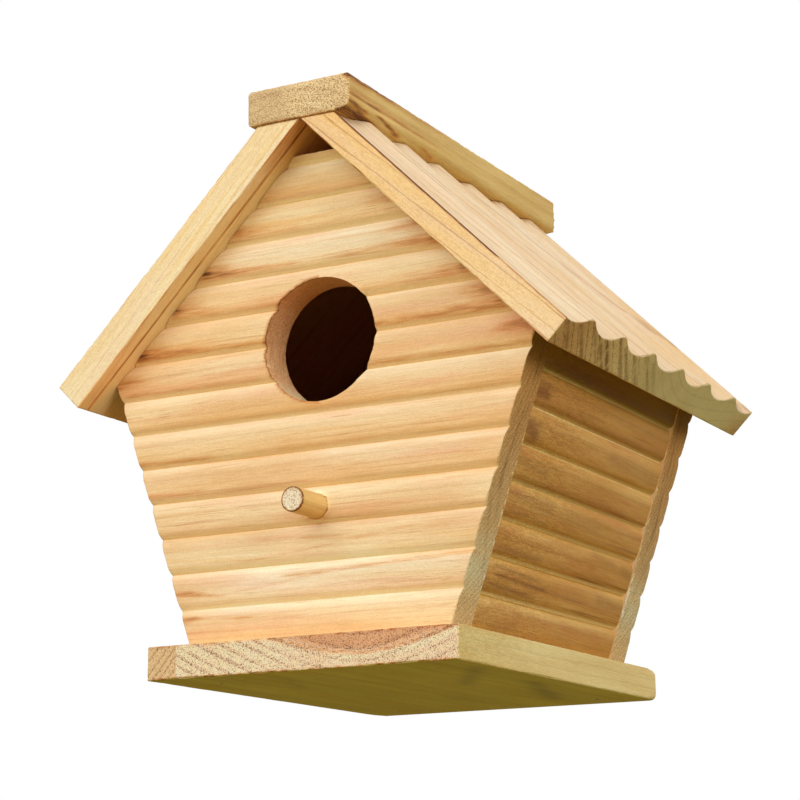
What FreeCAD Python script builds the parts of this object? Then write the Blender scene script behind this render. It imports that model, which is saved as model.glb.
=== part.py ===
import FreeCAD, Part

import math
import os

import PartDesign
import Sketcher

# A small nest box of grooved pine boards: a floor, four walls, two roof panels, a ridge cap
# and a perch, held by glue and brads. Millimetres, +Z up, the front wall faces -Y, and the
# origin is the centre of the floor's underside.

SIZES = {
    # Floor board
    "floor_width": 103.0,
    "floor_depth": 143.0,
    "floor_thickness": 10.0,
    # Walls: a box that leans outward to both sides and is square to the floor front and back
    "wall_thickness": 12.0,
    "wall_foot_width": 87.0,
    "wall_lean": 18.83,
    "wall_box_depth": 122.0,
    "side_wall_recess": 0.4,
    "ridge_gap": 7.8,
    # Grooves of the wall boards, counted from the floor up
    "groove_first": 11.7,
    "groove_pitch": 11.1,
    "groove_depth": 1.5,
    "groove_upper_flank": 2.6,
    "groove_lower_flank": 3.8,
    # Entrance, perch and the hanging hole in the back
    "entrance_diameter": 38.0,
    "entrance_rise": 89.3,
    "entrance_offset": 1.2,
    "perch_diameter": 7.5,
    "perch_reach": 13.5,
    "perch_rise": 39.0,
    "perch_chamfer": 0.4,
    "hanging_hole_diameter": 6.0,
    "hanging_hole_course": 9.0,
    # Roof panels
    "roof_apex_rise": 155.8,
    "roof_pitch": 45.0,
    "roof_slope_length": 113.0,
    "roof_front_overhang": 9.5,
    "roof_back_overhang": 13.5,
    "roof_crest_thickness": 11.6,
    "cove_depth": 3.2,
    "cove_pitch": 22.4,
    "crest_radius": 4.5,
    "right_first_crest": 14.3,
    "left_first_crest": 13.7,
    # Ridge cap
    "cap_width": 35.6,
    "cap_thickness": 11.2,
    "cap_front_reach": 1.0,
    "cap_lower_round": 3.5,
    "cap_upper_round": 1.2,
    # Brads: thin headed nails, driven in until the head lies below the surface
    "brad_shank": 1.2,
    "brad_head": 2.0,
    "brad_head_height": 0.6,
    "brad_point": 1.5,
    "brad_sink": 0.6,
    "wall_brad_length": 25.0,
    "cap_brad_length": 16.0,
    "floor_brad_inset": 6.8,
    "cap_brad_spacing": 19.0,
    "cap_brad_end_distance": 22.0,
    "roof_brad_from_ridge": 36.0,
    "roof_brad_from_eave": 34.0,
    "back_brad_lower_course": 1.0,
    "back_brad_upper_course": 5.0,
    # How far a cutting tool runs past what it cuts
    "overrun": 5.0,
}

# Values that follow from the sizes, each with its formula
FOLLOWING = {
    "foot_half": "Sizes.wall_foot_width / 2",
    "side_foot_half": "Sizes.wall_foot_width / 2 - Sizes.side_wall_recess",
    "wall_front": "-Sizes.wall_box_depth / 2",
    "inner_front": "-Sizes.wall_box_depth / 2 + Sizes.wall_thickness",
    "side_wall_length": "Sizes.wall_box_depth - 2 * Sizes.wall_thickness",
    "apex_height": "Sizes.floor_thickness + Sizes.roof_apex_rise",
    "gable_top_rise": "Sizes.roof_apex_rise - Sizes.ridge_gap",
    "gable_top_half": "Sizes.ridge_gap / tan(Sizes.roof_pitch)",
    # Where the leaning edge of a gable wall meets the roof's underside
    "eave_rise": "(Sizes.roof_apex_rise - Sizes.wall_foot_width / 2 * tan(Sizes.roof_pitch))"
                 " / (1 + tan(Sizes.wall_lean) * tan(Sizes.roof_pitch))",
    "roof_front": "-Sizes.wall_box_depth / 2 - Sizes.roof_front_overhang",
    "roof_depth": "Sizes.wall_box_depth + Sizes.roof_front_overhang + Sizes.roof_back_overhang",
    "land": "Sizes.groove_pitch - Sizes.groove_upper_flank - Sizes.groove_lower_flank",
    # How far each arc of the roof's profile turns, from a crest or a cove's bottom to where they meet
    "cove_turn": "2 * atan(2 * Sizes.cove_depth / Sizes.cove_pitch) / 1 deg",
}


def new_sheet(doc):
    """The spreadsheet of driving sizes: names in column A, values with aliases in column B."""
    sheet = doc.addObject("Spreadsheet::Sheet", "Sizes")
    for row, (alias, number) in enumerate(SIZES.items(), start=1):
        sheet.set("A%d" % row, alias)
        sheet.set("B%d" % row, str(number))
        sheet.setAlias("B%d" % row, alias)
    return sheet


def new_following(doc):
    """The sizes that follow from the sheet, as properties bound to their formulas."""
    following = doc.addObject("App::VarSet", "Following")
    for name, formula in FOLLOWING.items():
        following.addProperty("App::PropertyFloat", name, "Following")
        following.setExpression(name, formula)
    return following


doc = FreeCAD.newDocument("nest_box")
sheet = new_sheet(doc)
doc.recompute()
following = new_following(doc)
doc.recompute()


def value(formula):
    """What a formula of the document's sizes comes to, as a plain number."""
    return float(following.evalExpression(str(formula)))


def vector(across, along, up):
    return FreeCAD.Vector(value(across), value(along), value(up))


def turn(axis, formula):
    """A rotation about an axis by a formula in degrees."""
    return FreeCAD.Rotation(axis, value(formula))


X_AXIS = FreeCAD.Vector(1, 0, 0)
Y_AXIS = FreeCAD.Vector(0, 1, 0)
Z_AXIS = FreeCAD.Vector(0, 0, 1)
HALF_TURN = FreeCAD.Rotation(Z_AXIS, 180)
NO_TURN = FreeCAD.Rotation()


def origin_feature(body, role):
    """The origin plane or axis of a body with the given role."""
    return next(item for item in body.Origin.OriginFeatures if item.Role == role)


def new_sketch(body, name, plane):
    sketch = body.newObject("Sketcher::SketchObject", name)
    sketch.AttachmentSupport = [(origin_feature(body, plane), "")]
    sketch.MapMode = "FlatFace"
    return sketch


def bind(sketch, constraint, formula):
    """Adds a constraint and ties its size to a formula."""
    index = sketch.addConstraint(constraint)
    sketch.setExpression("Constraints[%d]" % index, formula)


def place_point(sketch, edge, end, across, up):
    """Holds the end of an edge at two distances from the sketch's origin."""
    for kind, formula in (("DistanceX", across), ("DistanceY", up)):
        bind(sketch, Sketcher.Constraint(kind, -1, 1, edge, end, value(formula)), formula)


def add_edge(sketch, start, end, arc):
    """Adds a line, or an arc whose centre lies left (1) or right (-1) of the way it runs.

    Returns which ends of the new edge are its start and its end."""
    if arc is None:
        sketch.addGeometry(Part.LineSegment(start, end), False)
        return 1, 2
    radius, side = value(arc[0]), arc[1]
    chord = end - start
    inward = FreeCAD.Vector(-chord.y, chord.x, 0).normalize() * side
    centre = (start + end) / 2 + inward * math.sqrt(radius ** 2 - (chord.Length / 2) ** 2)
    first, last = [math.atan2(spot.y - centre.y, spot.x - centre.x) for spot in (start, end)]
    if side < 0:
        first, last = last, first
    if last < first:
        last += 2 * math.pi
    sketch.addGeometry(Part.ArcOfCircle(Part.Circle(centre, Z_AXIS, radius), first, last), False)
    return (1, 2) if side > 0 else (2, 1)


def outline(body, name, plane, corners, arcs=None):
    """A closed sketch through corners, each a pair of formulas.

    arcs maps the number of an edge to its radius formula and the side of its centre."""
    arcs = arcs or {}
    sketch = new_sketch(body, name, plane)
    spots = [vector(across, up, 0) for across, up in corners]
    count = len(spots)
    ends = [add_edge(sketch, spots[i], spots[(i + 1) % count], arcs.get(i)) for i in range(count)]
    for i in range(count):
        after = (i + 1) % count
        sketch.addConstraint(Sketcher.Constraint("Coincident", i, ends[i][1], after, ends[after][0]))
        place_point(sketch, i, ends[i][0], *corners[i])
    for edge, (radius, side) in arcs.items():
        bind(sketch, Sketcher.Constraint("Radius", edge, value(radius)), radius)
    return sketch


def circle(body, name, plane, across, up, diameter):
    """A sketch of one circle, with its centre and diameter given as formulas."""
    sketch = new_sketch(body, name, plane)
    sketch.addGeometry(Part.Circle(vector(across, up, 0), Z_AXIS, value(diameter) / 2), False)
    place_point(sketch, 0, 3, across, up)
    bind(sketch, Sketcher.Constraint("Diameter", 0, value(diameter)), diameter)
    return sketch


def new_body(name):
    return doc.addObject("PartDesign::Body", name)


def pad(body, sketch, length, both_ways=False):
    """Raises a sketch by a length; both_ways centres it on the sketch's plane."""
    feature = body.newObject("PartDesign::Pad", body.Name + "_pad")
    feature.Profile = sketch
    feature.SideType = "Symmetric" if both_ways else "One side"
    feature.setExpression("Length", length)
    doc.recompute()
    return feature


def cut_through(body, sketch, name):
    """Cuts a sketch through the whole body, both ways, and makes sure that wood came away."""
    before = body.Shape.Volume
    feature = body.newObject("PartDesign::Pocket", name)
    feature.Profile = sketch
    feature.Type = "ThroughAll"
    feature.SideType = "Symmetric"
    doc.recompute()
    if not body.Shape.Volume < before:
        raise RuntimeError("%s cuts nothing from %s" % (name, body.Name))
    return feature


def repeat(body, feature, axis, pitch, count):
    """Repeats a cut along an axis of the body's origin, count times at a pitch."""
    before = body.Shape.Volume
    pattern = body.newObject("PartDesign::LinearPattern", feature.Name + "_row")
    pattern.Originals = [feature]
    pattern.Direction = (origin_feature(body, axis), [""])
    pattern.Mode = "Spacing"
    pattern.setExpression("Offset", pitch)
    pattern.setExpression("Occurrences", count)
    body.Tip = pattern
    doc.recompute()
    if value(count) > 1 and not body.Shape.Volume < before:
        raise RuntimeError("%s repeats nothing" % pattern.Name)


def groove_row(body, plane, face, inward, first, room):
    """Cuts the row of grooves into a wall board.

    face is the outer face's place across the sketch, inward is 1 or -1 towards the wood,
    first is the height of the first groove's bottom and room the height that is left for it."""
    def depth(amount):
        return "(%s) + %d * (%s)" % (face, inward, amount)

    def flank_radius(width):
        return "(%s ^ 2 + Sizes.groove_depth ^ 2) / (2 * Sizes.groove_depth)" % width

    top = "(%s) + Sizes.groove_upper_flank" % first
    foot = "(%s) - Sizes.groove_lower_flank" % first
    corners = [
        (face, foot),
        (depth("-Sizes.overrun"), foot),
        (depth("-Sizes.overrun"), top),
        (face, top),
        (depth("Sizes.groove_depth"), first),
    ]
    side = inward
    arcs = {3: (flank_radius("Sizes.groove_upper_flank"), side),
            4: (flank_radius("Sizes.groove_lower_flank"), side)}
    sketch = outline(body, body.Name + "_groove_outline", plane, corners, arcs)
    groove = cut_through(body, sketch, body.Name + "_groove")
    count = "floor(((%s) - Sizes.groove_upper_flank) / Sizes.groove_pitch) + 1" % room
    repeat(body, groove, "Z_Axis", "Sizes.groove_pitch", count)


def land_rise(course):
    """The height above a board's foot of the middle of the land above a groove."""
    return ("(Sizes.groove_first + Sizes.groove_pitch * %s"
            " + Sizes.groove_upper_flank + Following.land / 2)" % course)


def gable_board(name):
    """A front or back wall: inner face at y = 0, outer face towards -Y, foot at z = 0."""
    body = new_body(name)
    eave_half = "Following.foot_half + Following.eave_rise * tan(Sizes.wall_lean)"
    right = [
        ("Following.foot_half", "0"),
        (eave_half, "Following.eave_rise"),
        ("Following.gable_top_half", "Following.gable_top_rise"),
    ]
    left = [("-(%s)" % across, up) for across, up in reversed(right)]
    pad(body, outline(body, name + "_outline", "XZ_Plane", right + left), "Sizes.wall_thickness")
    groove_row(body, "YZ_Plane", "-Sizes.wall_thickness", 1, "Sizes.groove_first",
               "Following.gable_top_rise - Sizes.groove_first")
    return body


def side_board(name):
    """A side wall: outer face at x = 0 towards +X, its bottom edge along y at the origin."""
    body = new_body(name)

    def top(depth):
        """How far up the board's face the roof's underside lies, at a depth into the wood."""
        reach = "Sizes.roof_apex_rise - Following.side_foot_half * tan(Sizes.roof_pitch)"
        slip = "(cos(Sizes.wall_lean) * tan(Sizes.roof_pitch) - sin(Sizes.wall_lean))"
        climb = "(cos(Sizes.wall_lean) + sin(Sizes.wall_lean) * tan(Sizes.roof_pitch))"
        return "(%s + (%s) * %s) / %s" % (reach, depth, slip, climb)

    corners = [
        ("0", "0"),
        ("0", top("0")),
        ("-Sizes.wall_thickness", top("Sizes.wall_thickness")),
        ("-Sizes.wall_thickness", "-Sizes.wall_thickness * tan(Sizes.wall_lean)"),
    ]
    pad(body, outline(body, name + "_outline", "XZ_Plane", corners), "Following.side_wall_length",
        both_ways=True)
    groove_row(body, "XZ_Plane", "0", -1, "Sizes.groove_first",
               "(%s) - Sizes.groove_first" % top("0"))
    return body


def roof_board(name, first_crest):
    """A roof panel: underside on z = 0, ridge along y at x = 0, running down the slope to +X."""
    body = new_body(name)
    thickness = "Sizes.roof_crest_thickness"
    corners = [
        ("0", "0"),
        ("Sizes.roof_slope_length", "0"),
        ("Sizes.roof_slope_length", thickness),
        (thickness + " / tan(Sizes.roof_pitch)", thickness),
    ]
    blank = pad(body, outline(body, name + "_outline", "XZ_Plane", corners), "Following.roof_depth")
    blank.Reversed = True
    half = "Sizes.cove_pitch / 2"
    sine = "sin(Following.cove_turn)"
    drop = "Sizes.crest_radius * (1 - cos(Following.cove_turn))"
    start = "(%s) - Sizes.cove_pitch" % first_crest
    end = first_crest
    meeting = "%s - (%s)" % (thickness, drop)
    above = thickness + " + Sizes.overrun"
    cove_radius = "%s / %s - Sizes.crest_radius" % (half, sine)
    corners = [
        (start, thickness),
        (start + " + Sizes.crest_radius * " + sine, meeting),
        (end + " - Sizes.crest_radius * " + sine, meeting),
        (end, thickness),
        (end, above),
        (start, above),
    ]
    arcs = {0: ("Sizes.crest_radius", -1), 1: (cove_radius, 1), 2: ("Sizes.crest_radius", -1)}
    sketch = outline(body, name + "_cove_outline", "YZ_Plane", corners, arcs)
    cove = cut_through(body, sketch, name + "_cove")
    count = "ceil((Following.roof_depth - (%s)) / Sizes.cove_pitch) + 1" % first_crest
    repeat(body, cove, "Y_Axis", "Sizes.cove_pitch", count)
    return body


def roof_height(along, first_crest):
    """The panel's thickness at a distance from its front end, as a plain number."""
    pitch = value("Sizes.cove_pitch")
    crest_radius = value("Sizes.crest_radius")
    sine = math.sin(math.radians(value("Following.cove_turn")))
    cove_radius = pitch / 2 / sine - crest_radius
    crest = value("Sizes.roof_crest_thickness")
    away = abs((along - value(first_crest) + pitch / 2) % pitch - pitch / 2)
    if away < crest_radius * sine:
        return crest - crest_radius + math.sqrt(crest_radius ** 2 - away ** 2)
    sag = cove_radius - math.sqrt(cove_radius ** 2 - (pitch / 2 - away) ** 2)
    return crest - value("Sizes.cove_depth") + sag


def floor_blank():
    body = new_body("floor_blank")
    half_width, half_depth = "Sizes.floor_width / 2", "Sizes.floor_depth / 2"
    corners = [("%s%s" % (a, half_width), "%s%s" % (b, half_depth))
               for a, b in (("", "-"), ("", ""), ("-", ""), ("-", "-"))]
    pad(body, outline(body, "floor_outline", "XY_Plane", corners), "Sizes.floor_thickness")
    return body


def cap_blank():
    """The ridge cap, centred on x = 0 with its underside on z = 0 and its front end at y = 0."""
    body = new_body("cap_blank")
    half, low, high = "Sizes.cap_width / 2", "Sizes.cap_lower_round", "Sizes.cap_upper_round"
    thick = "Sizes.cap_thickness"
    corners = [
        ("-%s + %s" % (half, high), "0"),
        ("%s - %s" % (half, low), "0"),
        (half, low),
        (half, "%s - %s" % (thick, high)),
        ("%s - %s" % (half, high), thick),
        ("-%s + %s" % (half, high), thick),
        ("-" + half, "%s - %s" % (thick, high)),
        ("-" + half, high),
    ]
    arcs = {1: (low, 1), 3: (high, 1), 5: (high, 1), 7: (high, 1)}
    blank = pad(body, outline(body, "cap_outline", "XZ_Plane", corners, arcs),
                "Following.roof_depth + Sizes.cap_front_reach")
    blank.Reversed = True
    return body


def perch():
    """The perch: a round stick from the front wall's inner face, with its outer end eased."""
    body = new_body("perch_stick")
    stick = pad(body, circle(body, "perch_outline", "XZ_Plane", "0", "0", "Sizes.perch_diameter"),
                "Sizes.wall_thickness + Sizes.perch_reach")
    rims = [(edge.CenterOfMass.y, i) for i, edge in enumerate(body.Shape.Edges, start=1)
            if edge.isClosed()]
    eased = body.newObject("PartDesign::Chamfer", "perch_end")
    eased.Base = (stick, ["Edge%d" % min(rims)[1]])
    eased.setExpression("Size", "Sizes.perch_chamfer")
    doc.recompute()
    return body


def brad_body(name, length):
    """A brad: the head's top at the origin, the shank running down to a point."""
    body = new_body(name)
    head, shank = "Sizes.brad_head / 2", "Sizes.brad_shank / 2"
    corners = [
        ("0", "0"),
        (head, "0"),
        (head, "-Sizes.brad_head_height"),
        (shank, "-Sizes.brad_head_height"),
        (shank, "-(%s) + Sizes.brad_point" % length),
        ("0", "-(%s)" % length),
    ]
    sketch = outline(body, name + "_outline", "XZ_Plane", corners)
    spun = body.newObject("PartDesign::Revolution", name + "_turned")
    spun.Profile = sketch
    spun.ReferenceAxis = (sketch, ["V_Axis"])
    doc.recompute()
    return body


def sink_hole():
    """The hole that a sunk brad leaves above its head, run past the surface."""
    hole = doc.addObject("Part::Cylinder", "sink_hole")
    hole.setExpression("Radius", "Sizes.brad_head / 2")
    hole.setExpression("Height", "Sizes.brad_sink + Sizes.overrun")
    return hole


def place_all(name, source, places):
    """One group with a copy of the source at each place."""
    copies = []
    for number, place in enumerate(places, start=1):
        copy = doc.addObject("App::Link", "%s_%d" % (name, number))
        copy.LinkedObject = source
        copy.LinkTransform = True
        copy.Placement = place
        copies.append(copy)
    group = doc.addObject("Part::Compound", name)
    group.Links = copies
    return group


def finish_board(label, blank, tools):
    """The finished board: its blank less the brads in it and the holes above their heads."""
    bundle = doc.addObject("Part::Compound", label + "_cuts")
    bundle.Links = tools
    board = doc.addObject("Part::Cut", label)
    board.Base = blank
    board.Tool = bundle
    board.Label = label
    doc.recompute()
    if not board.Shape.Volume < blank.Shape.Volume:
        raise RuntimeError("the brads miss %s" % label)
    return board


def floor_brad_places():
    """Brads up through the floor into the feet of the front and back walls."""
    rise = FreeCAD.Rotation(X_AXIS, 180)
    across = "Following.foot_half - Sizes.floor_brad_inset"
    along = "Sizes.wall_box_depth / 2 - Sizes.wall_thickness / 2"
    return [FreeCAD.Placement(
        vector("%d * (%s)" % (side, across), "%d * (%s)" % (end, along), "Sizes.brad_sink"),
        rise) for side in (-1, 1) for end in (-1, 1)]


def back_brad_places():
    """Brads through the back wall into the ends of the side walls, on the lands of the boards."""
    facing_back = FreeCAD.Rotation(X_AXIS, -90)
    places = []
    for course in ("Sizes.back_brad_lower_course", "Sizes.back_brad_upper_course"):
        rise = land_rise(course)
        across = ("Following.side_foot_half + %s * tan(Sizes.wall_lean)"
                  " - Sizes.wall_thickness / 2 / cos(Sizes.wall_lean)" % rise)
        for side in (-1, 1):
            spot = vector("%d * (%s)" % (side, across), "-Following.wall_front - Sizes.brad_sink",
                          "Sizes.floor_thickness + %s" % rise)
            places.append(FreeCAD.Placement(spot, facing_back))
    return places


def roof_brad_places(first_crest, flipped):
    """Brads through a roof panel into the gable walls, in the panel's own frame.

    The front of a flipped panel is its far end, so the places are mirrored along it."""
    depth = value("Following.roof_depth")
    front = value("Sizes.roof_front_overhang + Sizes.wall_thickness / 2")
    back = depth - value("Sizes.roof_back_overhang + Sizes.wall_thickness / 2")
    ways = [depth - along if flipped else along for along in (front, back)]
    slopes = [value("Sizes.roof_brad_from_ridge"),
              value("Sizes.roof_slope_length - Sizes.roof_brad_from_eave")]
    sink = value("Sizes.brad_sink")
    return [FreeCAD.Placement(FreeCAD.Vector(slope, along, roof_height(along, first_crest) - sink),
                              NO_TURN) for slope in slopes for along in ways]


def cap_brad_places():
    """Brads down through the ridge cap into the level tops of the two roof panels."""
    depth = value("Following.roof_depth")
    front = value("Following.roof_front")
    inset = value("Sizes.cap_brad_end_distance")
    across = value("Sizes.cap_brad_spacing / 2")
    up = value("Following.apex_height + Sizes.cap_thickness - Sizes.brad_sink")
    alongs = [front + inset, front + depth / 2, front + depth - inset]
    return [FreeCAD.Placement(FreeCAD.Vector(side * across, along, up), NO_TURN)
            for side in (-1, 1) for along in alongs]


def build():
    """Makes every piece and returns them in the order of assembly."""
    floor = floor_blank()
    front = gable_board("front_blank")
    back = gable_board("back_blank")
    right = side_board("right_blank")
    left = side_board("left_blank")
    right_roof = roof_board("right_roof_blank", "Sizes.right_first_crest")
    left_roof = roof_board("left_roof_blank", "Sizes.left_first_crest")
    cap = cap_blank()
    stick = perch()

    entrance = circle(front, "entrance_outline", "XZ_Plane", "Sizes.entrance_offset",
                      "Sizes.entrance_rise", "Sizes.entrance_diameter")
    cut_through(front, entrance, "entrance")
    socket = circle(front, "perch_socket_outline", "XZ_Plane", "0", "Sizes.perch_rise",
                    "Sizes.perch_diameter")
    cut_through(front, socket, "perch_socket")
    hanger = circle(back, "hanging_hole_outline", "XZ_Plane", "0",
                    land_rise("Sizes.hanging_hole_course"), "Sizes.hanging_hole_diameter")
    cut_through(back, hanger, "hanging_hole")

    foot = "Sizes.floor_thickness"
    lean = turn(Y_AXIS, "Sizes.wall_lean")
    slope = turn(Y_AXIS, "Sizes.roof_pitch")
    roof_end = "Following.roof_front + Following.roof_depth"
    front.Placement = FreeCAD.Placement(vector("0", "Following.inner_front", foot), NO_TURN)
    back.Placement = FreeCAD.Placement(vector("0", "-Following.inner_front", foot), HALF_TURN)
    right.Placement = FreeCAD.Placement(vector("Following.side_foot_half", "0", foot), lean)
    left.Placement = FreeCAD.Placement(vector("-Following.side_foot_half", "0", foot),
                                       lean.inverted() * HALF_TURN)
    right_roof.Placement = FreeCAD.Placement(
        vector("0", "Following.roof_front", "Following.apex_height"), slope)
    left_roof.Placement = FreeCAD.Placement(
        vector("0", roof_end, "Following.apex_height"), slope.inverted() * HALF_TURN)
    cap.Placement = FreeCAD.Placement(
        vector("0", "Following.roof_front - Sizes.cap_front_reach", "Following.apex_height"),
        NO_TURN)
    stick.Placement = FreeCAD.Placement(
        vector("0", "Following.inner_front", foot + " + Sizes.perch_rise"), NO_TURN)
    stick.Label = "perch_dowel"

    long_brad = brad_body("long_brad", "Sizes.wall_brad_length")
    short_brad = brad_body("short_brad", "Sizes.cap_brad_length")
    hole = sink_hole()
    doc.recompute()
    groups = {
        "floor_brads": (long_brad, floor_brad_places()),
        "back_wall_brads": (long_brad, back_brad_places()),
        "right_roof_brads": (long_brad, [
            right_roof.Placement * place
            for place in roof_brad_places("Sizes.right_first_crest", False)]),
        "left_roof_brads": (long_brad, [
            left_roof.Placement * place
            for place in roof_brad_places("Sizes.left_first_crest", True)]),
        "ridge_cap_brads": (short_brad, cap_brad_places()),
    }
    brads = {}
    for name, (source, places) in groups.items():
        brads[name] = place_all(name, source, places)
        brads[name + "_holes"] = place_all(name + "_holes", hole, places)
    doc.recompute()

    def tools(*names):
        return [brads[name] for name in names]

    boards = [
        finish_board("floor_board", floor, tools("floor_brads", "floor_brads_holes")),
        finish_board("front_wall", front, tools("floor_brads", "right_roof_brads",
                                                "left_roof_brads")),
        finish_board("back_wall", back, tools("floor_brads", "right_roof_brads",
                                              "left_roof_brads", "back_wall_brads",
                                              "back_wall_brads_holes")),
        finish_board("left_wall", left, tools("back_wall_brads")),
        finish_board("right_wall", right, tools("back_wall_brads")),
        finish_board("left_roof_panel", left_roof, tools("left_roof_brads",
                                                         "left_roof_brads_holes",
                                                         "ridge_cap_brads")),
        finish_board("right_roof_panel", right_roof, tools("right_roof_brads",
                                                           "right_roof_brads_holes",
                                                           "ridge_cap_brads")),
        finish_board("ridge_cap", cap, tools("ridge_cap_brads", "ridge_cap_brads_holes")),
    ]
    return boards + [stick] + [brads[name] for name in groups]


def check(pieces):
    """Stops if any object failed, or a piece is not one closed solid per board or brad."""
    for item in doc.Objects:
        if "Invalid" in item.State or "Error" in item.State:
            raise RuntimeError("%s failed: %s" % (item.Name, item.State))
    for piece in pieces:
        shape = piece.Shape
        if shape.isNull() or not shape.isValid():
            raise RuntimeError("%s has no valid shape" % piece.Label)
        wanted = len(piece.Links) if piece.TypeId == "Part::Compound" else 1
        if len(shape.Solids) != wanted:
            raise RuntimeError("%s has %d solids" % (piece.Label, len(shape.Solids)))


def write(pieces):
    os.makedirs("parts", exist_ok=True)
    for piece in pieces:
        piece.Shape.exportStep("parts/%s.step" % piece.Label)
        box = piece.Shape.BoundBox
        print("%-18s %2d solid(s) %9.1f mm3  x %.2f..%.2f  y %.2f..%.2f  z %.2f..%.2f" % (
            piece.Label, len(piece.Shape.Solids), piece.Shape.Volume,
            box.XMin, box.XMax, box.YMin, box.YMax, box.ZMin, box.ZMax))


pieces = build()
doc.recompute()
check(pieces)
write(pieces)
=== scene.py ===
import math

import bpy
import numpy as np
from mathutils import Matrix, Vector


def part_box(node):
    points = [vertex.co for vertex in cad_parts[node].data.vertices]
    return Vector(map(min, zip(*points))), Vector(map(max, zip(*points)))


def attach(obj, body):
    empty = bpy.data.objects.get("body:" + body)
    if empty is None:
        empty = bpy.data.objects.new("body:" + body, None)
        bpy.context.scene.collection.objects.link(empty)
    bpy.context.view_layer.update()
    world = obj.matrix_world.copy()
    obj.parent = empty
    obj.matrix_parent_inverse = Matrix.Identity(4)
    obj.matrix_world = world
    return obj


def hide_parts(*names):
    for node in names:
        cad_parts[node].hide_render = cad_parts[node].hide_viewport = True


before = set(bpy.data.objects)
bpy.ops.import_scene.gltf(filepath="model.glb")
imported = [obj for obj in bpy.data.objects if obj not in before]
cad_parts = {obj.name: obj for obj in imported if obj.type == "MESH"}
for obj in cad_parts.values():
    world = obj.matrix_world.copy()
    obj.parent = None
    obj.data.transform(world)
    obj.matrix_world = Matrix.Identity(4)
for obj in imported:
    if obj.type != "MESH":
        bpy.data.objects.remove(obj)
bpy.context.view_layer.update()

# A nest box of sawn and milled pine boards. Lengths are in millimetres, and MM turns them into
# the frame's metres.
MM = 0.001
BODY = "root"
X_WAY, Y_WAY, Z_WAY = np.eye(3)


def corners(node):
    """A node's lowest and highest corner, in millimetres."""
    return [np.array(corner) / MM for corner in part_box(node)]


def node_points(node):
    """A node's points, in millimetres."""
    return np.array([vertex.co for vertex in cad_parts[node].data.vertices]) / MM


def foot_half(points):
    """How far from the middle a wall's foot reaches."""
    return abs(points[abs(points[:, 2] - FOOT) < 0.01][:, 0]).max()


def ways(angle):
    """The ways of a board as rows: X turned down by the angle, Y, and Z turned with X."""
    sine, cosine = math.sin(angle), math.cos(angle)
    return np.array([(cosine, 0, -sine), Y_WAY, (sine, 0, cosine)])


FLOOR_LOW, FLOOR_HIGH = corners("floor_board")
FRONT_LOW, FRONT_HIGH = corners("front_wall")
BACK_LOW, BACK_HIGH = corners("back_wall")
SIDE_LOW, SIDE_HIGH = corners("right_wall")
ROOF_LOW, ROOF_HIGH = corners("right_roof_panel")
CAP_LOW, CAP_HIGH = corners("ridge_cap")
PERCH_LOW, PERCH_HIGH = corners("perch_dowel")
PERCH_MIDDLE = (PERCH_LOW + PERCH_HIGH) / 2
PERCH_RADIUS = (PERCH_HIGH[0] - PERCH_LOW[0]) / 2

# Milled grooves of the wall boards, up from the foot of a board
GROOVE_FIRST = 11.7
GROOVE_PITCH = 11.1
GROOVE_DEPTH = 1.5
UPPER_FLANK = 2.6
LOWER_FLANK = 3.8

# Milled coves of the roof panels, back from the front end of a panel
COVE_PITCH = 22.4
COVE_DEPTH = 3.2
CREST_RADIUS = 4.5
RIGHT_CREST = 14.3
LEFT_CREST = 13.7

# Entrance, holes and the seam of the strip glued to the floor board
ENTRANCE_RADIUS = 19.0
ENTRANCE_RISE = 89.3
ENTRANCE_OFFSET = 1.2
FLOOR_SEAM = -41.5
HANGING_RADIUS = 3.0
HANGING_HEIGHT = 126.55
BRAD_PIT_RADIUS = 1.05
BRAD_PIT_DEPTH = 0.6

# The wall box and the roof on it
WALL = FRONT_HIGH[1] - FRONT_LOW[1]
FOOT = FLOOR_HIGH[2]
APEX = CAP_LOW[2]
WALL_RISE = FRONT_HIGH[2] - FOOT
PITCH = math.radians(45)
PITCH_WAYS = ways(PITCH)
FRONT_POINTS = node_points("front_wall")
FOOT_HALF = foot_half(FRONT_POINTS)
SIDE_FOOT_HALF = foot_half(node_points("right_wall"))
EAVE_HALF = abs(FRONT_POINTS[:, 0]).max()
EAVE_HEIGHT = FRONT_POINTS[abs(FRONT_POINTS[:, 0]).argmax(), 2]
LEAN = math.atan((EAVE_HALF - FOOT_HALF) / (EAVE_HEIGHT - FOOT))
LEAN_WAYS = ways(LEAN)
SIDE_ORIGIN = np.array([SIDE_FOOT_HALF, 0, FOOT])
ROOF_ORIGIN = np.array([0, ROOF_LOW[1], APEX])
ROOF_THICKNESS = 11.6
ROOF_LENGTH = ROOF_HIGH[0] / math.cos(PITCH) - ROOF_THICKNESS
ROOF_DEPTH = ROOF_HIGH[1] - ROOF_LOW[1]


def columns(*items):
    """Numbers and rows of numbers as the columns of one array."""
    return np.stack(np.broadcast_arrays(*items), 1)


def peak(away, reach):
    """A soft bump: 1 where away is 0, falling off over the reach."""
    return np.exp(-(away / reach) ** 2)


def ramp(values, low, high):
    """From 0 at low to 1 at high, and held there."""
    return np.clip((values - low) / (high - low), 0, 1)


def blend(share, first, second):
    """Rows that go from one colour to another with a share per row."""
    return np.array(first) + np.clip(share, 0, 1)[:, None] * (np.array(second) - np.array(first))


def fading(amount, strengths):
    """Tints that darken with the amount, by a strength for each colour channel."""
    return np.exp(-amount[:, None] * strengths)


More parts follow.
